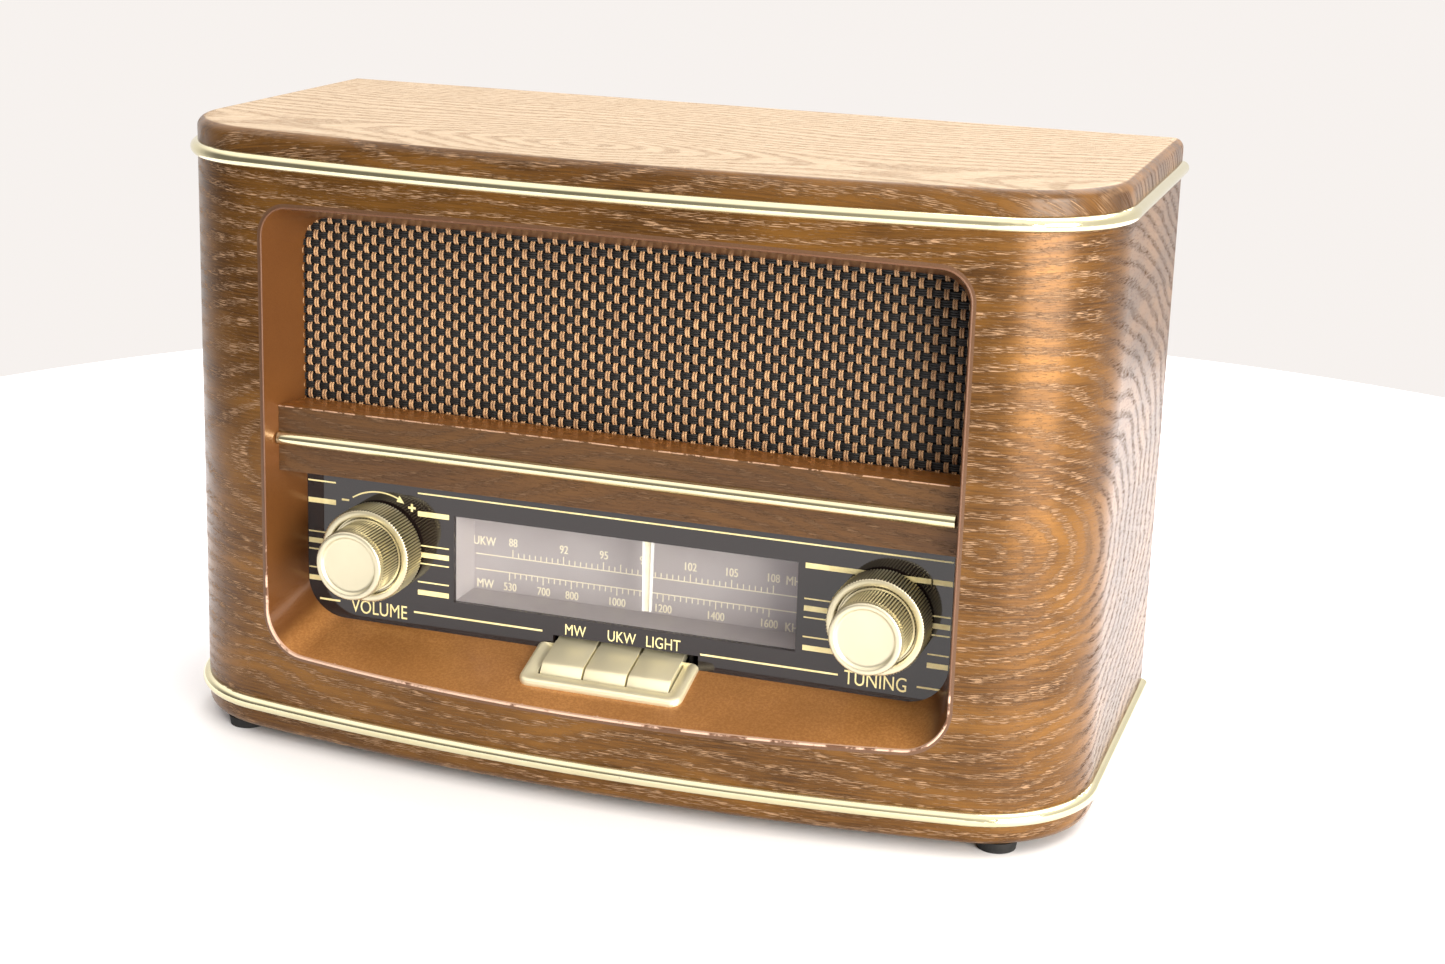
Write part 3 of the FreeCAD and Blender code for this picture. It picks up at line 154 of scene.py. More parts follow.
def wood(name, run="wrap", tone=1.0, pore_tone=1.0, figure=31.0, seed=0.0, metal=0.42, coat=0.45, flat_tone=1.0):
    """Stained open-pored veneer. run is the grain's way: round the cabinet, or along x."""
    t = Tree(name)
    p = t.place()
    x, y, z = t.split(p)
    if run == "wrap":
        ahead = t.math("SUBTRACT", y, APEX_Y)
        u = t.math("ADD", x, t.math("MULTIPLY", t.math("SIGN", x), ahead))
        v = z
    else:
        u = x
        v = t.math("ADD", y, t.math("MULTIPLY", z, 1.1))
    u = t.math("ADD", u, seed * 37.0)
    wander = t.noise(t.join(t.math("MULTIPLY", u, 0.006), t.math("MULTIPLY", v, 0.012), seed), 1.0, 2.0)
    swirl = t.noise(t.join(t.math("MULTIPLY", u, 0.018), t.math("MULTIPLY", v, 0.05), seed + 5), 1.0, 2.0)
    # distance from the log's heart, which comes near the surface now and then
    turn = t.math("MULTIPLY", t.math("SUBTRACT", u, HEART_U if run == "wrap" else 60.0), math.pi / HEART_PERIOD)
    depth = t.math("MULTIPLY", t.math("ABSOLUTE", t.math("SINE", turn)), figure)
    if run == "wrap":
        beyond = t.math("DIVIDE", t.math("SUBTRACT", u, HEART_U), 2.2)
        depth = t.math("MAXIMUM", t.math("MULTIPLY", depth, t.math("LESS_THAN", beyond, 0.0)), beyond)
    centre = t.node("ShaderNodeMath", wander, 40.0, HEART_Z if run == "wrap" else 170.0,
                    operation="MULTIPLY_ADD").outputs[0]
    across = t.math("SUBTRACT", v, centre)
    radius = t.math("SQRT", t.math("ADD", t.math("POWER", across, 2.0), t.math("POWER", depth, 2.0)))
    radius = t.math("ADD", radius, t.math("MULTIPLY", swirl, 7.0))
    ring = t.math("FRACT", t.math("DIVIDE", radius, RING_PITCH))
    early = t.math("MULTIPLY", t.step(ring, 0.0, 0.25), t.step(ring, 0.75, 0.4))
    # vessels: short dashes along the grain, crowded in the early wood
    dash = t.noise(t.join(t.math("MULTIPLY", u, 0.17), t.math("MULTIPLY", v, 3.9), seed), 1.0, 1.5, 0.55, 0.1)
    thin = t.noise(t.join(t.math("MULTIPLY", u, 0.27), t.math("MULTIPLY", v, 5.6), seed + 8), 1.0, 1.0)
    crowd = t.math("MULTIPLY", early, 0.135)
    pore = t.math("MAXIMUM", t.step(t.math("ADD", dash, crowd), 0.658, 0.69),
                  t.step(t.math("ADD", thin, t.math("MULTIPLY", crowd, 0.6)), 0.68, 0.73, 0.0, 0.8))
    fine = t.noise(t.join(t.math("MULTIPLY", u, 0.05), t.math("MULTIPLY", v, 1.5), seed + 2), 1.0, 4.0, 0.65)
    cloud = t.noise(t.join(t.math("MULTIPLY", u, 0.018), t.math("MULTIPLY", v, 0.06), seed + 3), 1.0, 3.0)

    def toned(color, by=tone):
        return tuple(c * by for c in color)

    ground = t.mix(t.step(fine, 0.3, 0.7), toned(rgb(66, 41, 15)), toned(rgb(106, 70, 28)))
    ground = t.mix(t.step(cloud, 0.35, 0.7, 0.0, 0.6), ground, toned(rgb(138, 94, 38)))
    ground = t.mix(t.math("MULTIPLY", early, 0.3), ground, toned(rgb(70, 46, 25)))
    normal = t.split(t.node("ShaderNodeNewGeometry").outputs["Normal"])
    end = t.step(t.math("ABSOLUTE", normal[0]), 0.8, 0.98)
    # the pores are pale on the front; on the two ends they are painted dark, painted shade for how the glare there
    # leaves them dark
    pore_fill_and_end_shade = t.mix(end, toned(rgb(158, 126, 96), pore_tone), toned(rgb(62, 40, 24), pore_tone))
    color = t.mix(t.math("MULTIPLY", pore, 0.85), ground, pore_fill_and_end_shade)
    upward = normal[2]
    flat = t.step(upward, 0.9, 0.985)
    if name == "veneer_top":
        # the flat top is painted pale: a painted reflection of the bright room behind and above, with the roundover
        # kept dark brown
        grain = t.mix(t.step(fine, 0.3, 0.7), rgb(160, 140, 114), rgb(182, 162, 138))
        grain = t.mix(t.math("MULTIPLY", pore, 0.5), grain, rgb(124, 88, 58))
        color = t.mix(flat, color, grain)
    if name == "veneer_bar":
        # painted light: the bar's flat top is painted a lighter gold-brown, and its other faces are darkened as
        # painted shade
        color = t.mix(flat, color, t.mix(fine, rgb(128, 80, 34), rgb(176, 116, 54)))
        color = t.mix(flat, t.mix(0.6, color, t.mix(fine, rgb(74, 52, 35), rgb(94, 68, 48))), color)
        # pale broken line along the bar's top front edge: a painted highlight on that edge
        edge = t.math("MULTIPLY", t.step(y, DIAL_Y - 13.45, DIAL_Y - 13.6), t.step(z, 118.9, 119.1))
        pale_edge = t.math("MULTIPLY", edge, t.step(t.noise(p, 0.25, 4.0, 0.7), 0.42, 0.5))
        color = t.mix(t.math("MULTIPLY", pale_edge, 0.8), color, rgb(206, 166, 136))
    height = t.math("SUBTRACT", t.math("MULTIPLY", fine, 0.15), pore)
    t.bump(height, 0.24, 0.8)
    rough = t.node("ShaderNodeMath", pore, 0.6, 0.33, operation="MULTIPLY_ADD").outputs[0]
    if name == "veneer_top":
        rough = t.math("ADD", rough, t.math("MULTIPLY", flat, 0.3))
    varnish = t.node("ShaderNodeMath", flat, coat * (flat_tone - 1), coat, operation="MULTIPLY_ADD").outputs[0]
    sealed = t.math("MULTIPLY", varnish, t.math("SUBTRACT", 1.0, pore))
    sheen = t.node("ShaderNodeMath", pore, -metal, metal, operation="MULTIPLY_ADD").outputs[0]
    t.finish(Base_Color=color, Roughness=rough, Metallic=sheen, Coat_Weight=sealed, Coat_Roughness=0.24,
             Coat_IOR=1.3)
    t.bsdf.inputs["Specular IOR Level"].default_value = 0.22
    return t.material


def paint(name):
    """Satin bronze-brown paint of the surround, worn pale along its front edge."""
    t = Tree(name)
    p = t.place()
    x, y, z = t.split(p)
    speck = t.noise(p, 2.4, 3.0, 0.6)
    cloud = t.noise(p, 0.02, 3.0, 0.6)
    normal = t.split(t.node("ShaderNodeNewGeometry").outputs["Normal"])
    # the shelf (upward faces) is painted paler than the walls: painted light on the lit shelf, with the walls left
    # darker
    floor = t.step(normal[2], 0.55, 0.9)
    wall = t.mix(speck, rgb(84, 50, 23), rgb(116, 72, 34))
    grit = t.step(t.noise(p, 1.1, 3.0, 0.75), 0.38, 0.66)
    color = t.mix(floor, wall, t.mix(grit, rgb(168, 114, 62), rgb(192, 136, 78)))
    color = t.mix(t.step(cloud, 0.35, 0.7, 0.0, 0.4), color, rgb(120, 76, 36))
    bow = t.math("SQRT", t.math("SUBTRACT", BOW * BOW, t.math("MULTIPLY", x, x)))
    from_front = t.math("ADD", t.math("SUBTRACT", y, BOW_Y), bow)
    low = t.step(z, 75.0, 40.0)
    ragged = t.math("MULTIPLY", t.math("SUBTRACT", t.noise(p, 0.4, 4.0, 0.75), 0.5), t.math("ADD", low, 0.25))
    ragged = t.node("ShaderNodeMath", ragged, 6.0, 0.1, operation="MULTIPLY_ADD").outputs[0]
    least = t.node("ShaderNodeMath", low, 0.8, 0.05, operation="MULTIPLY_ADD").outputs[0]
    pale_edge = t.math("LESS_THAN", from_front, t.math("MAXIMUM", ragged, least))
    color = t.mix(t.math("MULTIPLY", pale_edge, 0.8), color, rgb(214, 178, 156))
    cut = t.math("LESS_THAN", normal[1], -0.7)
    color = t.mix(cut, color, t.mix(speck, rgb(84, 58, 38), rgb(112, 80, 56)))
    scuff = t.step(t.noise(p, 0.5, 5.0, 0.75), 0.70, 0.76)
    color = t.mix(t.math("MULTIPLY", scuff, 0.3), color, rgb(180, 140, 112))
    t.bump(t.math("ADD", speck, t.math("MULTIPLY", t.noise(p, 0.15, 2.0), 2.0)), 0.05, 0.35)
    rough = t.step(speck, 0.3, 0.8, 0.28, 0.4)
    return t.finish(Base_Color=color, Roughness=rough, Metallic=0.3, Coat_Weight=0.2, Coat_Roughness=0.12)


def worn_lip(name):
    """Thin edge where the paint has worn and chipped, most of all low down."""
    t = Tree(name)
    p = t.place()
    z = t.split(p)[2]
    patchy = t.noise(p, 0.12, 4.0, 0.7)
    low = t.step(z, 80.0, 36.0)
    left = t.step(t.split(p)[0], 60.0, -110.0)
    aged = t.math("ADD", patchy, t.math("MULTIPLY", low, t.math("ADD", t.math("MULTIPLY", left, 0.1), 0.24)))
    pale = t.step(aged, 0.64, 0.76, 0.0, 1.0)
    color = t.mix(pale, rgb(96, 62, 38), rgb(206, 172, 150))
    t.bump(t.noise(p, 1.2, 4.0, 0.7), 0.15, 0.6)
    return t.finish(Base_Color=color, Roughness=t.step(patchy, 0.3, 0.7, 0.4, 0.6))


def metal(name, light, dark, rough=0.2, grain=0.0, bump=0.0, metallic=1.0, speck=0.08):
    """Plated or anodised metal, with faint handling marks."""
    t = Tree(name)
    p = t.place()
    cloud = t.noise(p, 0.06, 3.0, 0.6)
    fine = t.noise(p, 3.0, 3.0, 0.6)
    color = t.mix(cloud, light, dark)
    tarnish = t.step(t.noise(p, 0.9, 4.0, 0.7), 0.66, 0.72, 0.0, speck)
    color = t.mix(tarnish, color, tuple(c * 0.35 for c in dark))
    scratched = t.math("MULTIPLY_ADD", fine, grain)
    scratched.node.inputs[2].default_value = rough
    if bump:
        t.bump(fine, bump, 0.5)
    return t.finish(Base_Color=color, Roughness=scratched, Metallic=metallic)


def knurled(name, light, dark, groove_shade_colour):
    """Satin gold, with painted shade in the grooves between a knob's ribs."""
    t = Tree(name)
    p = t.place()
    x, y, z = t.split(p)
    left, right = KNOBS["volume"], KNOBS["tuning"]
    middle = t.node("ShaderNodeMath", t.math("SIGN", x), (right - left) / 2, (right + left) / 2,
                    operation="MULTIPLY_ADD").outputs[0]
    across, up = t.math("SUBTRACT", x, middle), t.math("SUBTRACT", z, KNOB_Z)
    radius = t.math("SQRT", t.math("ADD", t.math("POWER", across, 2.0), t.math("POWER", up, 2.0)))
    count = t.step(radius, 13.5, 14.5, BARREL_RIBS, SKIRT_RIBS)
    ripple = t.math("COSINE", t.math("MULTIPLY", t.math("ARCTAN2", up, across), count))
    normal = t.split(t.node("ShaderNodeNewGeometry").outputs["Normal"])
    side = t.step(t.math("ABSOLUTE", normal[1]), 0.5, 0.3)
    # painted shade: the sides are darkened in the grooves between the ribs
    groove_shade = t.math("MULTIPLY", t.step(ripple, -0.4, 0.6), side)
    color = t.mix(t.math("MULTIPLY", groove_shade, 0.8), t.mix(t.noise(p, 0.06, 3.0, 0.6), light, dark), groove_shade_colour)
    rough = t.step(t.noise(p, 3.0, 3.0, 0.6), 0.2, 0.8, 0.3, 0.38)
    return t.finish(Base_Color=color, Roughness=rough, Metallic=0.85)


def plastic(name, light, dark, rough=0.4, scale=0.3, bump=0.02, fine_scale=3.0, **more):
    """Moulded or pressed stuff with a slightly uneven colour and a fine texture."""
    t = Tree(name)
    p = t.place()
    cloud = t.noise(p, scale, 3.0, 0.6)
    fine = t.noise(p, fine_scale, 2.0, 0.6)
    color = t.mix(t.step(t.math("ADD", t.math("MULTIPLY", cloud, 0.7), t.math("MULTIPLY", fine, 0.3)), 0.3, 0.7),
                  light, dark)
    uneven = t.math("MULTIPLY_ADD", cloud, 0.12)
    uneven.node.inputs[2].default_value = rough - 0.04
    if bump:
        t.bump(fine, bump, 0.6)
    return t.finish(Base_Color=color, Roughness=uneven, **more)


def gloss_black(name):
    """Glossy black dial with a little dust."""
    t = Tree(name)
    p = t.place()
    dust = t.step(t.noise(p, 1.6, 4.0, 0.8), 0.72, 0.78)
    cloud = t.noise(p, 0.03, 2.0)
    black = t.mix(cloud, rgb(20, 13, 13), rgb(28, 20, 19))
    color = t.mix(t.math("MULTIPLY", dust, 0.25), black, rgb(120, 112, 108))
    rough = t.step(cloud, 0.3, 0.7, 0.035, 0.06)
    return t.finish(Base_Color=color, Roughness=rough, IOR=1.56)


def pane(name):
    """Clear window: see-through, with a gloss."""
    t = Tree(name)
    p = t.place()
    smear = t.step(t.noise(p, 0.05, 3.0, 0.6), 0.3, 0.8, 0.01, 0.05)
    t.finish(Base_Color=(*rgb(120, 114, 116), 1.0), Roughness=smear)
    clear = t.node("ShaderNodeBsdfTransparent", (0.98, 0.98, 0.98, 1.0))
    both = t.node("ShaderNodeMixShader", 0.1)
    t.links.new(clear.outputs[0], both.inputs[1])
    t.links.new(t.bsdf.outputs[0], both.inputs[2])
    t.links.new(both.outputs[0], t.out.inputs[0])
    return t.material


def yarn(name, light, dark, sheen):
    """Twisted yarn: fine slanting strands."""
    t = Tree(name)
    p = t.place()
    x, y, z = t.split(p)
    strand = t.math("SINE", t.math("MULTIPLY", t.math("ADD", z, t.math("MULTIPLY", x, 0.6)), 14.0))
    fuzz = t.noise(p, 5.0, 3.0, 0.7)
    patch = t.noise(p, 0.35, 2.0, 0.6)
    uneven = t.math("ADD", fuzz, t.math("MULTIPLY", patch, 0.6))
    mixed = t.step(t.math("ADD", t.math("MULTIPLY", strand, 0.2), uneven), 0.5, 1.1)
    t.bump(t.math("ADD", t.math("MULTIPLY", strand, 0.3), fuzz), 0.08, 0.6)
    return t.finish(Base_Color=t.mix(mixed, light, dark), Roughness=0.62, Sheen_Weight=sheen)


MATS = {
    "veneer": wood("veneer"),
    "veneer_top": wood("veneer_top", run="along", tone=0.8, figure=31.0, seed=2.0, metal=0.0, flat_tone=0.0),
    "veneer_bar": wood("veneer_bar", run="along", tone=0.9, pore_tone=0.55, figure=80.0, seed=4.0),
    "brown_paint": paint("brown_paint"),
    "worn_lip": worn_lip("worn_lip"),
    "gold_trim": metal("gold_trim", rgb(238, 231, 196), rgb(224, 215, 172), rough=0.09, grain=0.05, speck=0.4),
    "gold_satin": metal("gold_satin", rgb(218, 211, 184), rgb(205, 197, 169), rough=0.3, grain=0.08, bump=0.01,
                        metallic=0.85),
    "gold_knurl": knurled("gold_knurl", rgb(222, 214, 184), rgb(208, 199, 168), rgb(70, 58, 34)),
    "gold_key": metal("gold_key", rgb(240, 232, 200), rgb(228, 219, 184), rough=0.34, grain=0.1, bump=0.01,
                      metallic=0.6),
    "black_gloss": gloss_black("black_gloss"),
    "print": plastic("print", rgb(244, 232, 176), rgb(226, 210, 150), rough=0.4, bump=0.0),
    "scale_print": plastic("scale_print", rgb(255, 250, 226), rgb(250, 240, 212), rough=0.5, bump=0.0),
    "window": pane("window"),
    "light_box": plastic("light_box", rgb(186, 181, 182), rgb(178, 172, 173), rough=0.4, scale=0.05),
    "tan_yarn": yarn("tan_yarn", rgb(208, 164, 116), rgb(84, 50, 30), 0.15),
    "black_yarn": yarn("black_yarn", rgb(11, 10, 10), rgb(3, 3, 3), 0.03),
    "backing": plastic("backing", rgb(14, 13, 14), rgb(6, 6, 6), rough=0.8),
    "fibreboard": plastic("fibreboard", rgb(104, 76, 50), rgb(78, 56, 38), rough=0.75, scale=0.8, bump=0.05),
    "softwood": wood("softwood", run="wrap", tone=3.4, pore_tone=1.6, seed=7.0, metal=0.0, coat=0.0),
    "white_plastic": plastic("white_plastic", rgb(226, 222, 208), rgb(206, 200, 184), rough=0.45),
    "black_plastic": plastic("black_plastic", rgb(30, 30, 31), rgb(18, 18, 19), rough=0.45, fine_scale=6.0),
    "rubber": plastic("rubber", rgb(26, 25, 25), rgb(14, 14, 14), rough=0.85, fine_scale=5.0, bump=0.04),
    "steel": metal("steel", rgb(196, 196, 198), rgb(166, 166, 170), rough=0.32, grain=0.15, bump=0.01),
    "can": metal("can", rgb(214, 214, 216), rgb(186, 186, 190), rough=0.4, grain=0.1),
    "paper_cone": plastic("paper_cone", rgb(40, 38, 38), rgb(24, 22, 22), rough=0.85, bump=0.06, fine_scale=1.5),
    "ferrite": plastic("ferrite", rgb(52, 52, 56), rgb(36, 36, 40), rough=0.6, bump=0.04),
    "board": plastic("board", rgb(140, 98, 48), rgb(112, 76, 36), rough=0.5),
    "capacitor": plastic("capacitor", rgb(34, 48, 96), rgb(22, 32, 70), rough=0.3),
    "winding": plastic("winding", rgb(196, 156, 66), rgb(160, 118, 44), rough=0.5, fine_scale=1.2, bump=0.06),
    "lamp": plastic("lamp", rgb(250, 240, 206), rgb(240, 226, 184), rough=0.1, bump=0.0),
    "cord": plastic("cord", rgb(206, 200, 176), rgb(170, 162, 136), rough=0.8, fine_scale=8.0, bump=0.05),
    "pointer": plastic("pointer", rgb(255, 250, 226), rgb(248, 240, 206), rough=0.25, bump=0.0),
    "pointer_side": plastic("pointer_side", rgb(255, 255, 255), rgb(250, 250, 250), rough=0.2, bump=0.0),
}
# A slot takes the material of its own name, apart from these.
SLOT_MATERIAL = {"cloth": "backing"}
OWN_MATERIAL = {"divider_bar": "veneer_bar", "light_box": "light_box", "baffle_board": "backing"}


def dress(obj, material):
    obj.data.materials.clear()
    obj.data.materials.append(MATS[material])


for part in frame["record"]["subparts"]:
    label, slot = part["node"], part["material_slot"]
    dress(NODES[label], OWN_MATERIAL.get(label, SLOT_MATERIAL.get(slot, slot)))


# ---- mesh helpers ---------------------------------------------------------------
def piece(name, verts, faces, material, body="cabinet", slot=None, smooth=True, sharp=None):
    """Mesh in millimetres in the row frame, which rides on a body."""
    mesh = bpy.data.meshes.new(name)
    mesh.from_pydata([Vector(v) * MM for v in verts], [], faces)
    mesh.validate()
    obj = bpy.data.objects.new(name, mesh)
    bpy.context.scene.collection.objects.link(obj)
    dress(obj, material)
    finish_normals(mesh, smooth, sharp)
    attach(obj, body)
    return obj


def finish_normals(mesh, smooth=True, sharp=None):
    work = bmesh.new()
    work.from_mesh(mesh)
    bmesh.ops.recalc_face_normals(work, faces=work.faces)
    work.to_mesh(mesh)
    work.free()
    mesh.polygons.foreach_set("use_smooth", [smooth] * len(mesh.polygons))
    if smooth and sharp:
        mesh.set_sharp_from_angle(angle=math.radians(sharp))


def merge(parts):
    """One (verts, faces) out of several."""
    verts, faces = [], []
    for more_verts, more_faces in parts:
        start = len(verts)
        verts.extend(more_verts)
        faces.extend([tuple(i + start for i in face) for face in more_faces])
    return verts, faces


def ring_mesh(rings, capped=False, looped=False):
    """Skin through closed rings of equal length. Looped joins the last ring to the first."""
    count = len(rings[0])
    verts = [v for ring in rings for v in ring]
    faces = []
    spans = len(rings) if looped else len(rings) - 1
    for i in range(spans):
        a, b = i * count, ((i + 1) % len(rings)) * count
        for j in range(count):
            k = (j + 1) % count
            faces.append((a + j, a + k, b + k, b + j))
    if capped:
        faces.append(tuple(range(count - 1, -1, -1)))
        faces.append(tuple(range(len(verts) - count, len(verts))))
    return verts, faces


def block(x0, x1, y0, y1, z0, z1):
    """Box between two x, two y and two z."""
    verts = [(x, y, z) for x in (x0, x1) for y in (y0, y1) for z in (z0, z1)]
    faces = [(0, 1, 3, 2), (4, 6, 7, 5), (0, 4, 5, 1), (2, 3, 7, 6), (0, 2, 6, 4), (1, 5, 7, 3)]
    return verts, faces


# ---- knobs ------------------------------------------------------------------------
def turned(centre_x, profile, ribs, steps):
    """Round piece on a knob's axis. A profile point is (radius, forward, rib depth)."""
    around = ribs * steps
    rings = []
    for radius, forward, depth in profile:
        ring = []
        for i in range(around):
            angle = 2 * math.pi * i / around
            wave = 0.5 - 0.5 * math.cos(2 * math.pi * i / steps)
            r = radius - depth * (1 - wave)
            ring.append((centre_x + r * math.cos(angle), DIAL_Y - forward, KNOB_Z + r * math.sin(angle)))
        rings.append(ring)
    verts, faces = ring_mesh(rings)
    return verts, faces, rings


def capped(verts, faces, around, at_start, at_end):
    """Flat ends for a turned piece."""
    if at_start:
        faces.append(tuple(range(around - 1, -1, -1)))
    if at_end:
        faces.append(tuple(range(len(verts) - around, len(verts))))
    return verts, faces


for name, knob_x in KNOBS.items():
    skirt_profile = [
        (15.7, 1.0, 0), (16.3, 1.25, 0.3), (16.5, 1.7, 0.95), (16.5, 11.2, 0.95), (16.35, 11.6, 0.5),
        (16.0, 11.85, 0), (15.6, 12.0, 0), (14.1, 12.0, 0), (13.75, 11.85, 0), (13.6, 11.5, 0), (13.5, 9.6, 0),
        (12.6, 9.5, 0), (12.2, 9.5, 0),
    ]
    verts, faces, rings = turned(knob_x, skirt_profile, SKIRT_RIBS, 4)
    verts, faces = capped(verts, faces, len(rings[0]), True, True)
    lip_profile = [(12.15, 9.5, 0), (12.9, 9.5, 0), (13.0, 10.4, 0), (12.8, 10.7, 0), (12.15, 10.7, 0)]
    lip = turned(knob_x, lip_profile, 40, 3)
    barrel_profile = [(12.2, 9.5, 0.7), (12.2, 21.0, 0.7)]
    barrel = turned(knob_x, barrel_profile, BARREL_RIBS, 4)
    skirt = merge([(verts, faces), capped(barrel[0], barrel[1], len(barrel[2][0]), False, True), lip[:2]])
    obj = piece(f"{name}_knob_grip", *skirt, "gold_knurl", name, "gold_satin", sharp=50)
    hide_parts(f"{name}_knob_skirt")
    cap_profile = [
        (12.2, 21.0, 0.7), (12.2, 23.1, 0.7), (12.1, 23.5, 0.25), (11.85, 23.85, 0), (11.5, 24.1, 0),
        (11.1, 24.2, 0), (10.35, 24.2, 0), (10.05, 24.1, 0), (9.8, 23.85, 0), (9.6, 23.5, 0), (9.3, 23.3, 0),
        (8.6, 23.28, 0), (6.5, 23.2, 0), (3.5, 23.12, 0), (0.9, 23.1, 0),
    ]
    verts, faces, rings = turned(knob_x, cap_profile, CAP_RIBS, 4)
    verts, faces = capped(verts, faces, len(rings[0]), True, True)
    obj = piece(f"{name}_knob_face", verts, faces, "gold_satin", name, "gold_satin", sharp=50)
    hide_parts(f"{name}_knob_cap")


# ---- speaker cloth ------------------------------------------------------------------
def strand(points, width, thick, sides=6, flat_axis="x"):
    """Tube with a flattened section along a path that runs along x or z."""
    rings = []
    for x, y, z in points:
        ring = []
        for i in range(sides):
            angle = 2 * math.pi * (i + 0.5) / sides
            along, out = width / 2 * math.cos(angle), thick / 2 * math.sin(angle)
            ring.append((x + along, y - out, z) if flat_axis == "x" else (x, y - out, z + along))
        rings.append(ring)
    return ring_mesh(rings, capped=True)


CLOTH_Y = DIAL_Y - 0.15
WARP, WEFT = 2.72, 2.9
rng = random.Random(7)
columns = int(236 / WARP)
rows = int(88 / WEFT)
left, low = -WARP * (columns - 1) / 2, 143.0 - WEFT * (rows - 1) / 2


def over(column, row):
    """1 where the warp passes over the weft, -1 where it passes under."""
    return 1 if (column + row) % 2 == 0 else -1


tan, black = [], []
for c in range(columns):
    x = left + c * WARP
    shift = rng.uniform(-0.12, 0.12)
    for side in (-0.42, 0.42):
        path = []
        for k in range(rows * 4 + 1):
            row = (k - 2) / 4
            near = over(c, 0) * math.cos(math.pi * row)
            lift = 0.14 + 0.62 * math.copysign(abs(near) ** 0.5, near)
            width = 0.05 * math.sin(row * 2.1 + c) + shift
            path.append((x + side + width, CLOTH_Y - lift, low + row * WEFT + rng.uniform(-0.05, 0.05)))
        tan.append(strand(path, 0.82, 0.74))
for r in range(rows):
    z = low + r * WEFT
    for side in (-0.78, 0.0, 0.78):
        path = []
        for k in range(columns * 3 + 1):
            column = (k - 1.5) / 3
            near = -over(0, r) * math.cos(math.pi * column)
            lift = 0.42 * math.copysign(abs(near) ** 0.7, near)
            path.append((left + column * WARP, CLOTH_Y - lift, z + side + rng.uniform(-0.06, 0.06)))
        black.append(strand(path, 0.86, 0.78, flat_axis="z"))
warp = piece("cloth_warp", *merge(tan), "tan_yarn", slot="cloth")
weft = piece("cloth_weft", *merge(black), "black_yarn", slot="cloth")


# ---- print on the dial ---------------------------------------------------------------
INK_THICK = 0.03
CAPITAL_SHARE = 0.73  # a capital's height over the font's size
LETTER_WIDTH = 0.78


def panel_text(words, x, z, height, plane_y, bold=0.0):
    """Raised ink letters, condensed; x and z are the middle of the word. Bold widens the strokes."""
    curve = bpy.data.curves.new("letters", "FONT")
    curve.body = words
    curve.align_x = "CENTER"
    curve.align_y = "CENTER"
    curve.size = height / CAPITAL_SHARE
    curve.extrude = INK_THICK
    curve.space_character = 1.02
    obj = bpy.data.objects.new("letters", curve)
    bpy.context.scene.collection.objects.link(obj)
    bpy.context.view_layer.update()
    mesh = bpy.data.meshes.new_from_object(obj.evaluated_get(bpy.context.evaluated_depsgraph_get()))
    xs = [v.co.x for v in mesh.vertices]
    ys = [v.co.y for v in mesh.vertices]
    mid = (max(ys) + min(ys)) / 2
    centre = (max(xs) + min(xs)) / 2
    verts = [(x + (v.co.x - centre) * LETTER_WIDTH, plane_y - v.co.z, z + v.co.y - mid) for v in mesh.vertices]
    faces = [tuple(p.vertices) for p in mesh.polygons]
    bpy.data.objects.remove(obj)
    bpy.data.curves.remove(curve)
    bpy.data.meshes.remove(mesh)
    if bold:
        return merge([(verts, faces), ([(a + bold, b - 0.004, c) for a, b, c in verts], faces)])
    return verts, faces


def ink(x0, x1, z0, z1, plane_y):
    """Printed bar."""
    return block(x0, x1, plane_y - INK_THICK, plane_y, z0, z1)


def ink_shape(corners):
    """Printed shape on the dial, from its corners in x and z."""
    return ring_mesh([[(x, y, z) for x, z in corners] for y in (INK_Y - INK_THICK, INK_Y)], capped=True)


INK_Y = DIAL_Y - 0.02
FACE_EDGE = 114.4
marks = []
for words, x, z, height in (("MW", -14.1, 48.9, 4.0), ("UKW", 2.6, 48.9, 4.0), ("LIGHT", 17.4, 48.9, 4.1),
                            ("VOLUME", -87.5, 46.4, 5.1), ("TUNING", 90.6, 46.7, 5.1)):
    marks.append(panel_text(words, x, z, height, INK_Y))
# stripes beside the knobs; the top one runs on over the tuning knob
TOP_STRIPE, LONG_START, LONG_END = 82.9, 65.6, 108.0
for start, end in ((-FACE_EDGE, -103.8), (-72.7, -61.0), (LONG_START, 77.4), (107.4, FACE_EDGE)):
    for z, thick in ((TOP_STRIPE, 1.8), (71.6, 0.5), (68.3, 1.8), (65.2, 0.5), (58.5, 0.5), (54.7, 1.8)):
        long = start == LONG_START and z == TOP_STRIPE
        marks.append(ink(start, LONG_END if long else end, z - thick / 2, z + thick / 2, INK_Y))
# lines along the top and bottom edges, the minus and the plus
for x0, x1, z0, z1, plane_y in (
        (-FACE_EDGE, -103.8, 89.75, 90.3, INK_Y), (-101.5, -98.7, 84.05, 84.75, INK_Y),
        (-76.3, -73.5, 84.2, 85.0, INK_Y), (-75.3, -74.5, 83.2, 86.0, INK_Y - 0.005),
        (-72.7, FACE_EDGE, 89.9, 90.45, INK_Y), (-FACE_EDGE + 4.0, -102.5, 46.9, 47.6, INK_Y),
        (-74.2, -26.2, 46.9, 47.55, INK_Y), (30.5, 78.0, 46.7, 47.35, INK_Y),
        (104.5, FACE_EDGE - 1.2, 46.5, 47.15, INK_Y)):
    marks.append(ink(x0, x1, z0, z1, plane_y))
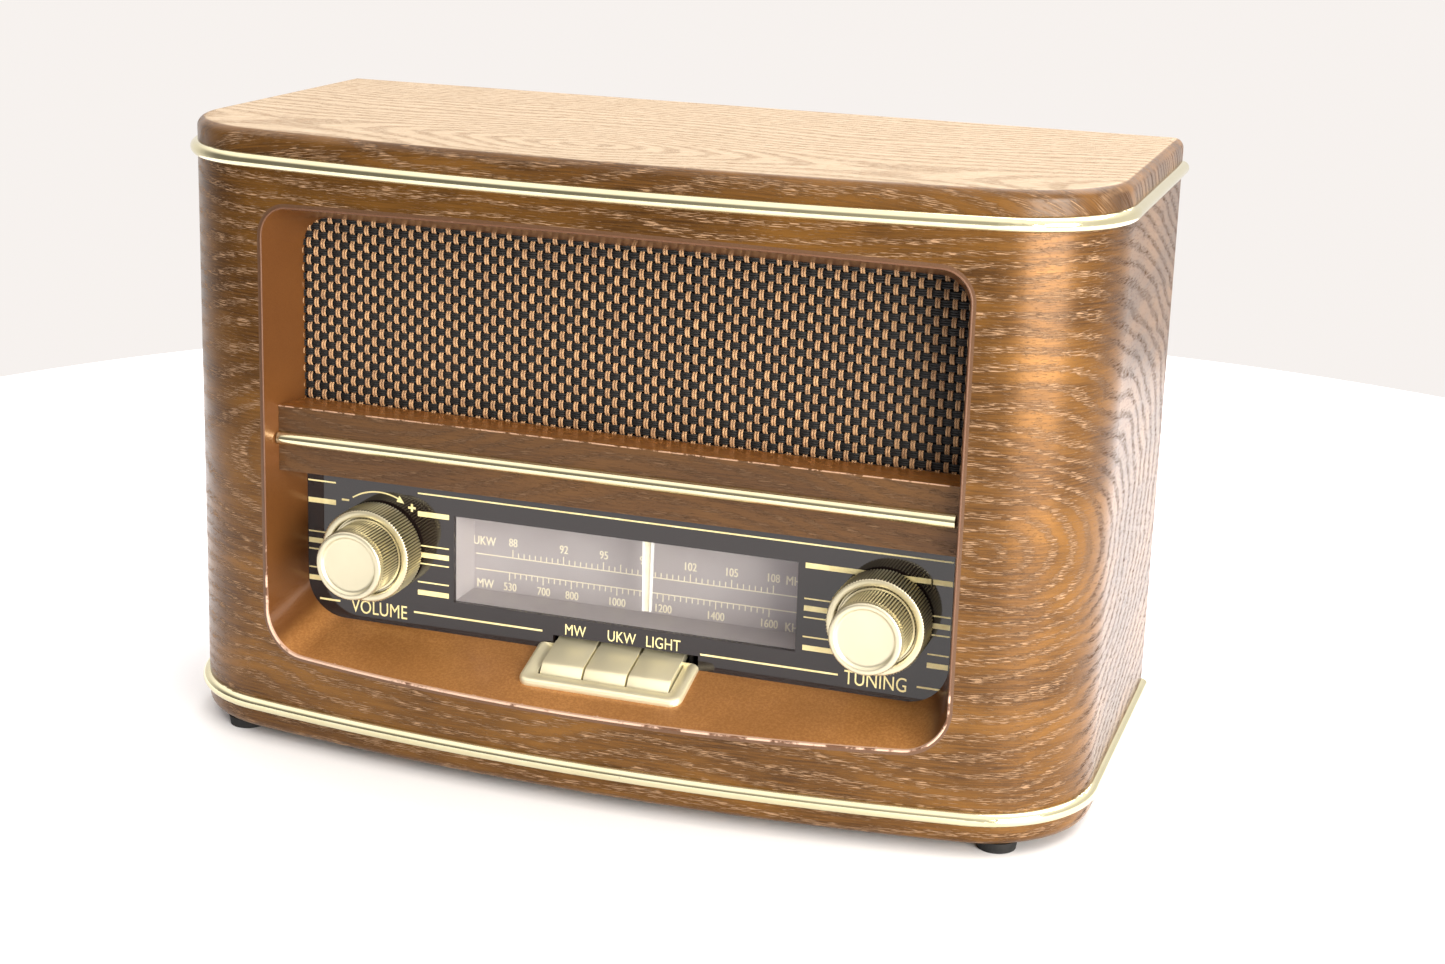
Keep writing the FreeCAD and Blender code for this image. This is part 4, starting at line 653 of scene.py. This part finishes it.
# arrow over the volume knob
arc = []
for i in range(17):
    angle = math.radians(124 - 57 * i / 16)
    arc.append((KNOBS["volume"] - 0.2 + 18.2 * math.cos(angle), KNOB_Z + 1.2 + 18.3 * math.sin(angle)))
for (x0, z0), (x1, z1) in zip(arc, arc[1:]):
    dx, dz = x1 - x0, z1 - z0
    unit = math.hypot(dx, dz) / 0.26
    nx, nz = -dz / unit, dx / unit
    corners = [(x0 + nx, z0 + nz), (x1 + nx, z1 + nz), (x1 - nx, z1 - nz), (x0 - nx, z0 - nz)]
    marks.append(ink_shape(corners))
tip_x, tip_z = arc[-1]
head = [(tip_x + 2.3, tip_z - 1.5), (tip_x + 0.5, tip_z + 1.1), (tip_x - 0.6, tip_z - 1.1)]
marks.append(ink_shape(head))
piece("dial_print", *merge(marks), "print", slot="black_gloss", smooth=False)

# scale on the light box's back wall, behind the window
SCALE_Y = BOX_BACK_Y - 0.03
FM_Z, AM_Z = 65.6, 60.1
TICKS, FIRST, LAST = 45, -44.6, 49.9
BOLD = 0.16
scale = [ink(-58.6, 62.6, z - 0.2, z + 0.2, SCALE_Y) for z in (FM_Z, AM_Z)]
stations = (("88", 0), ("92", 9), ("95", 16), ("98", 23), ("102", 31), ("105", 38), ("108", 45))
am_stations = (("530", 0), ("700", 6), ("800", 11), ("1000", 19), ("1200", 27), ("1400", 36), ("1600", 45))


def station_x(n):
    return FIRST + (LAST - FIRST) * n / TICKS


for i in range(TICKS + 1):
    x = station_x(i)
    tall = any(i == n for _, n in stations) or i == 19
    scale.append(ink(x - 0.19, x + 0.19, FM_Z, FM_Z + (2.9 if tall else 1.9), SCALE_Y))
    x -= 1.2
    tall = any(i == n for _, n in am_stations)
    scale.append(ink(x - 0.19, x + 0.19, AM_Z - (2.9 if tall else 1.9), AM_Z, SCALE_Y))
for words, n in stations:
    scale.append(panel_text(words, station_x(n), 71.1, 3.0, SCALE_Y, bold=BOLD))
for words, n in am_stations:
    scale.append(panel_text(words, station_x(n) - 1.0, 54.9, 3.0, SCALE_Y, bold=BOLD))
for words, x, z in (("UKW", -55.3, 70.5), ("MW", -54.9, 55.0), ("MHz", 57.6, 71.0), ("KHz", 57.6, 54.6)):
    scale.append(panel_text(words, x, z, 3.3, SCALE_Y, bold=BOLD))
piece("scale_print", *merge(scale), "scale_print", slot="white_plastic", smooth=False)


# ---- pointer --------------------------------------------------------------------------
POINTER_X, POINTER_Y = 9.6, DIAL_Y + 4.0


def blade(x0_top, x1_top, x0_low, x1_low, y_front, y_back, z_top, z_low):
    """Upright bar whose top and bottom ends have their own widths."""
    return ring_mesh([[(x0, y_front, z), (x1, y_front, z), (x1, y_back, z), (x0, y_back, z)]
                      for x0, x1, z in ((x0_top, x1_top, z_top), (x0_low, x1_low, z_low))], capped=True)


px = POINTER_X
core = blade(px - 1.5, px + 1.3, px - 1.0, px + 1.0, POINTER_Y + 0.5, POINTER_Y + 1.2, 93.0, 57.8)
arms = [block(px - 1.5, px + 1.5, POINTER_Y, -30.0, 91.5, 93.0), block(px - 7, px + 7, -33.5, -26.5, 91.5, 97.5),
        block(px - 2, px + 2, -30.0, -18.5, 96.3, 97.5)]
needle = piece("pointer_needle", *merge([core] + arms), "pointer", "pointer", "pointer", smooth=False)
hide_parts("dial_pointer")
# bright white strips on the needle's sides: painted highlights for the light a clear needle catches along its edges
edges = [blade(px - 2.1, px - 1.5, px - 1.5, px - 1.0, POINTER_Y, POINTER_Y + 1.2, 93.0, 57.8),
         blade(px + 1.3, px + 2.1, px + 1.0, px + 1.6, POINTER_Y, POINTER_Y + 1.2, 93.0, 57.8)]
piece("pointer_edge_glints", *merge(edges), "pointer_side", "pointer", "pointer", smooth=False)


# ---- keys and their frame ---------------------------------------------------------------
def on_floor(x, along, above):
    """Point on the sloped floor: along it from the dial plane forwards, and square above it."""
    y = DIAL_Y - along * math.cos(SLOPE) - above * math.sin(SLOPE)
    z = FLOOR_Z - along * math.sin(SLOPE) + above * math.cos(SLOPE)
    return (x, y, z)


KEY_MID, KEY_PITCH = 1.4, 15.5
STEM_Y, STEM_RADIUS = DIAL_Y - 7, 0.5
SPRING_FOOT, COIL_RADIUS, WIRE_RADIUS, COIL_TURNS, TURN_STEPS = 30.0, 2.2, 0.34, 3, 24
key_section = [(-1.6, 2.6), (9.3, 2.75), (10.4, 2.7), (11.2, 2.45), (12.0, 2.0), (13.6, 0.85), (14.2, 0.3),
               (14.4, -0.3), (14.4, -0.9), (10.0, -0.9), (-1.6, -0.9)]
for number, name in enumerate(("mw", "ukw", "light")):
    x0 = KEY_MID + (number - 1.5) * KEY_PITCH + 0.34
    x1 = x0 + KEY_PITCH - 0.68
    rings = []
    for x, inset in ((x0, 0.22), (x0 + 0.08, 0.06), (x0 + 0.25, 0.0), (x1 - 0.25, 0.0), (x1 - 0.08, 0.06),
                     (x1, 0.22)):
        rings.append([on_floor(x, a - (inset if a > 5 else 0), h - (inset if h > 0 else 0))
                      for a, h in key_section])
    top = ring_mesh(rings, capped=True)
    # the lever behind the dial, its hub and the stem in the spring
    tail = ring_mesh([[on_floor(x, 1.0, 2.3), on_floor(x, 1.0, -0.6), (x, -39.5, 42.7), (x, -35.6, 42.7),
                       (x, -35.6, 46.5), (x, -38.5, 46.5)] for x in (x0 + 0.3, x1 - 0.3)], capped=True)
    mid = (x0 + x1) / 2
    stem_rings = [[(mid + STEM_RADIUS * math.cos(a * math.pi / 8), STEM_Y + STEM_RADIUS * math.sin(a * math.pi / 8),
                    z) for a in range(16)] for z in (36.8, 38.5)]
    stem = ring_mesh(stem_rings, capped=True)
    obj = piece(f"key_{name}_cap", *merge([top, tail, stem]), "gold_key", f"key_{name}", "gold_satin", sharp=40)
    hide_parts(f"key_{name}")
    # the coil under the key
    rings = []
    for i in range(COIL_TURNS * TURN_STEPS + 1):
        turn = i * 2 * math.pi / TURN_STEPS
        rise = SPRING_FOOT + 0.4 + 6.5 * i / (COIL_TURNS * TURN_STEPS)
        ring = []
        for a in range(8):
            out = COIL_RADIUS + WIRE_RADIUS * math.cos(a * math.pi / 4)
            ring.append((mid + out * math.cos(turn), STEM_Y + out * math.sin(turn),
                         rise + WIRE_RADIUS * math.sin(a * math.pi / 4)))
        rings.append(ring)
    coil = piece(f"spring_{name}_coil", *ring_mesh(rings, capped=True), "steel", "cabinet", "steel")
    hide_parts(f"key_spring_{name}")
    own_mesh(coil)


def round_rect(x0, x1, a0, a1, front, back, steps=8):
    """Outline on the floor: a runs forwards; front corners and back corners have their own radius."""
    loop = []
    for cx, ca, radius, start in ((x1 - front, a1 - front, front, 0), (x0 + front, a1 - front, front, 90),
                                  (x0 + back, a0 + back, back, 180), (x1 - back, a0 + back, back, 270)):
        for i in range(steps + 1):
            angle = math.radians(start + 90 * i / steps)
            loop.append((cx + radius * math.cos(angle), ca + radius * math.sin(angle)))
    return loop


BEZEL = (KEY_MID - 28.75, KEY_MID + 28.75, -0.4, 20.6)
HOLE = (KEY_MID - 23.55, KEY_MID + 23.55, -0.3, 14.9)
frame_rings = []
for grow, height in ((0.0, 0.0), (0.0, 0.9), (-0.25, 1.55), (-0.8, 2.05), (-1.5, 2.2), (-2.3, 2.15)):
    loop = round_rect(BEZEL[0] - grow, BEZEL[1] + grow, BEZEL[2], BEZEL[3] + grow, 4.0 + grow * 0.5, 0.6)
    frame_rings.append([on_floor(x, a, height) for x, a in loop])
for grow, height in ((1.1, 1.2), (0.7, 1.05), (0.0, 1.0), (0.0, 0.0)):
    loop = round_rect(HOLE[0] - grow, HOLE[1] + grow, HOLE[2], HOLE[3] + grow, 1.0 + grow, 0.3)
    frame_rings.append([on_floor(x, a, height) for x, a in loop])
obj = piece("key_frame", *ring_mesh(frame_rings, looped=True), "gold_key", slot="gold_satin", sharp=50)
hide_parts("key_bezel")


# ---- rim of the opening ---------------------------------------------------------------------
def mouth_loop(ahead, steps=10, run=30):
    """Opening's outline in x and z, some way ahead of the dial plane."""
    half = 114.7 + 0.235 * ahead
    floor = FLOOR_Z - FLOOR_FALL * ahead
    ceiling = 182.2 + 0.28 * ahead
    corners = []
    for cx, cz, radius, start in ((half - 10, ceiling - 10, 10, 0), (-half + 10, ceiling - 10, 10, 90),
                                  (-half + 14, floor + 14, 14, 180), (half - 14, floor + 14, 14, 270)):
        for i in range(steps + 1):
            angle = math.radians(start + 90 * i / steps)
            corners.append((cx + radius * math.cos(angle), cz + radius * math.sin(angle)))
    loop = []
    for i, ((x0, z0), (x1, z1)) in enumerate(zip(corners, corners[1:] + corners[:1])):
        count = run if i % (steps + 1) == steps else 1
        loop.extend((x0 + (x1 - x0) * k / count, z0 + (z1 - z0) * k / count) for k in range(count))
    return loop


def lip_line():
    """The opening's edge on the bowed front."""
    points = []
    for (x0, z0), (x1, z1) in zip(mouth_loop(0.0), mouth_loop(1.0)):
        ahead = 20.0
        for _ in range(8):
            x = x0 + (x1 - x0) * ahead
            y = BOW_Y - math.sqrt(BOW * BOW - x * x)
            ahead = DIAL_Y - y
        points.append(Vector((x, y, z0 + (z1 - z0) * ahead)))
    return points


line = lip_line()
lip_rings = []
for i, point in enumerate(line):
    along = (line[(i + 1) % len(line)] - line[i - 1]).normalized()
    outward = along.cross(Vector((0, 1, 0))).normalized()
    if outward.dot(point - Vector((0, point.y, 110))) < 0:
        outward = -outward
    centre = point + outward * 0.25 + Vector((0, 0.12, 0))
    lip_rings.append([tuple(centre + outward * 0.4 * math.cos(a * math.pi / 5)
                            - Vector((0, 1, 0)) * 0.32 * math.sin(a * math.pi / 5)) for a in range(10)])
piece("opening_lip", *ring_mesh(lip_rings, looped=True), "worn_lip", slot="brown_paint")


# ---- floor, light and camera --------------------------------------------------------------------
def table():
    """Round white table under the radio."""
    steps, radius, centre_x, centre_y = 256, 597.0, 32.7, 88.1
    angles = [2 * math.pi * i / steps for i in range(steps)]
    rim = [(centre_x + radius * math.cos(a), centre_y + radius * math.sin(a), 0.0) for a in angles]
    mesh = bpy.data.meshes.new("table_top")
    mesh.from_pydata([Vector(v) * MM for v in rim], [], [tuple(range(steps))])
    floor = bpy.data.objects.new("table_top", mesh)
    bpy.context.scene.collection.objects.link(floor)
    t = Tree("table_white")
    cloud = t.noise(t.place(), 0.8, 3.0)
    t.finish(Base_Color=t.mix(cloud, (0.84, 0.84, 0.86), (0.88, 0.88, 0.90)), Roughness=0.55)
    floor.data.materials.append(t.material)


table()


def area(name, where, target, size, power, color):
    """Soft light that faces its target."""
    data = bpy.data.lights.new(name, "AREA")
    data.shape = "RECTANGLE"
    data.size, data.size_y = size
    data.energy = power
    data.color = color
    light = bpy.data.objects.new(name, data)
    light.location = where
    light.rotation_euler = (Vector(target) - Vector(where)).to_track_quat("-Z", "Y").to_euler()
    bpy.context.scene.collection.objects.link(light)


area("overhead", (0.5, 0.6, 1.6), (0, 0, 0.1), (2.0, 1.5), 40.0, (1.0, 0.98, 0.96))
area("right_window", (1.3, -0.94, 0.26), (0, 0, 0.08), (1.1, 0.9), 52.0, (1.0, 0.96, 0.88))

world = bpy.data.worlds.new("room")
bpy.context.scene.world = world
world.use_nodes = True
background = world.node_tree.nodes["Background"]
background.inputs[0].default_value = (1.0, 0.955, 0.925, 1.0)


def room_brightness():
    """Pale wall behind, dim at the front left and lighter at the front right, bright ceiling."""
    tree = world.node_tree

    def ramp(value, low, high, to_low, to_high):
        node = tree.nodes.new("ShaderNodeMapRange")
        node.interpolation_type = "SMOOTHSTEP"
        for socket, given in zip(node.inputs, (value, low, high, to_low, to_high)):
            if isinstance(given, bpy.types.NodeSocket):
                tree.links.new(given, socket)
            else:
                socket.default_value = given
        return node.outputs[0]

    where = tree.nodes.new("ShaderNodeTexCoord").outputs["Generated"]
    split = tree.nodes.new("ShaderNodeSeparateXYZ")
    tree.links.new(where, split.inputs[0])
    front = ramp(split.outputs[0], -0.5, 0.7, 0.22, 0.9)
    wall = ramp(split.outputs[1], -0.3, 0.5, front, 0.93)
    tree.links.new(ramp(split.outputs[2], 0.25, 0.7, wall, 1.6), background.inputs[1])


room_brightness()

scene = bpy.context.scene
scene.view_settings.view_transform = "Standard"
scene.view_settings.look = "None"

camera_data = bpy.data.cameras.new("view")
camera_data.lens = 59.79
camera_data.sensor_width = 36.0
camera_data.shift_x = 0.0093
camera_data.shift_y = -0.04713
camera_data.clip_start = 0.05
camera = bpy.data.objects.new("view", camera_data)
bpy.context.scene.collection.objects.link(camera)
back = Vector((0.30637, -0.91827, 0.25085)).normalized()
right = Vector((0, 0, 1)).cross(back).normalized()
up = back.cross(right)
roll = math.radians(1.741)
right, up = math.cos(roll) * right + math.sin(roll) * up, math.cos(roll) * up - math.sin(roll) * right
turn = Matrix((right, up, back)).transposed()
camera.matrix_world = Matrix.Translation(Vector((0.2689, -0.7579, 0.3244))) @ turn.to_4x4()
scene.camera = camera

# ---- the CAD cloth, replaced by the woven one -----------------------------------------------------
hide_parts("speaker_cloth")
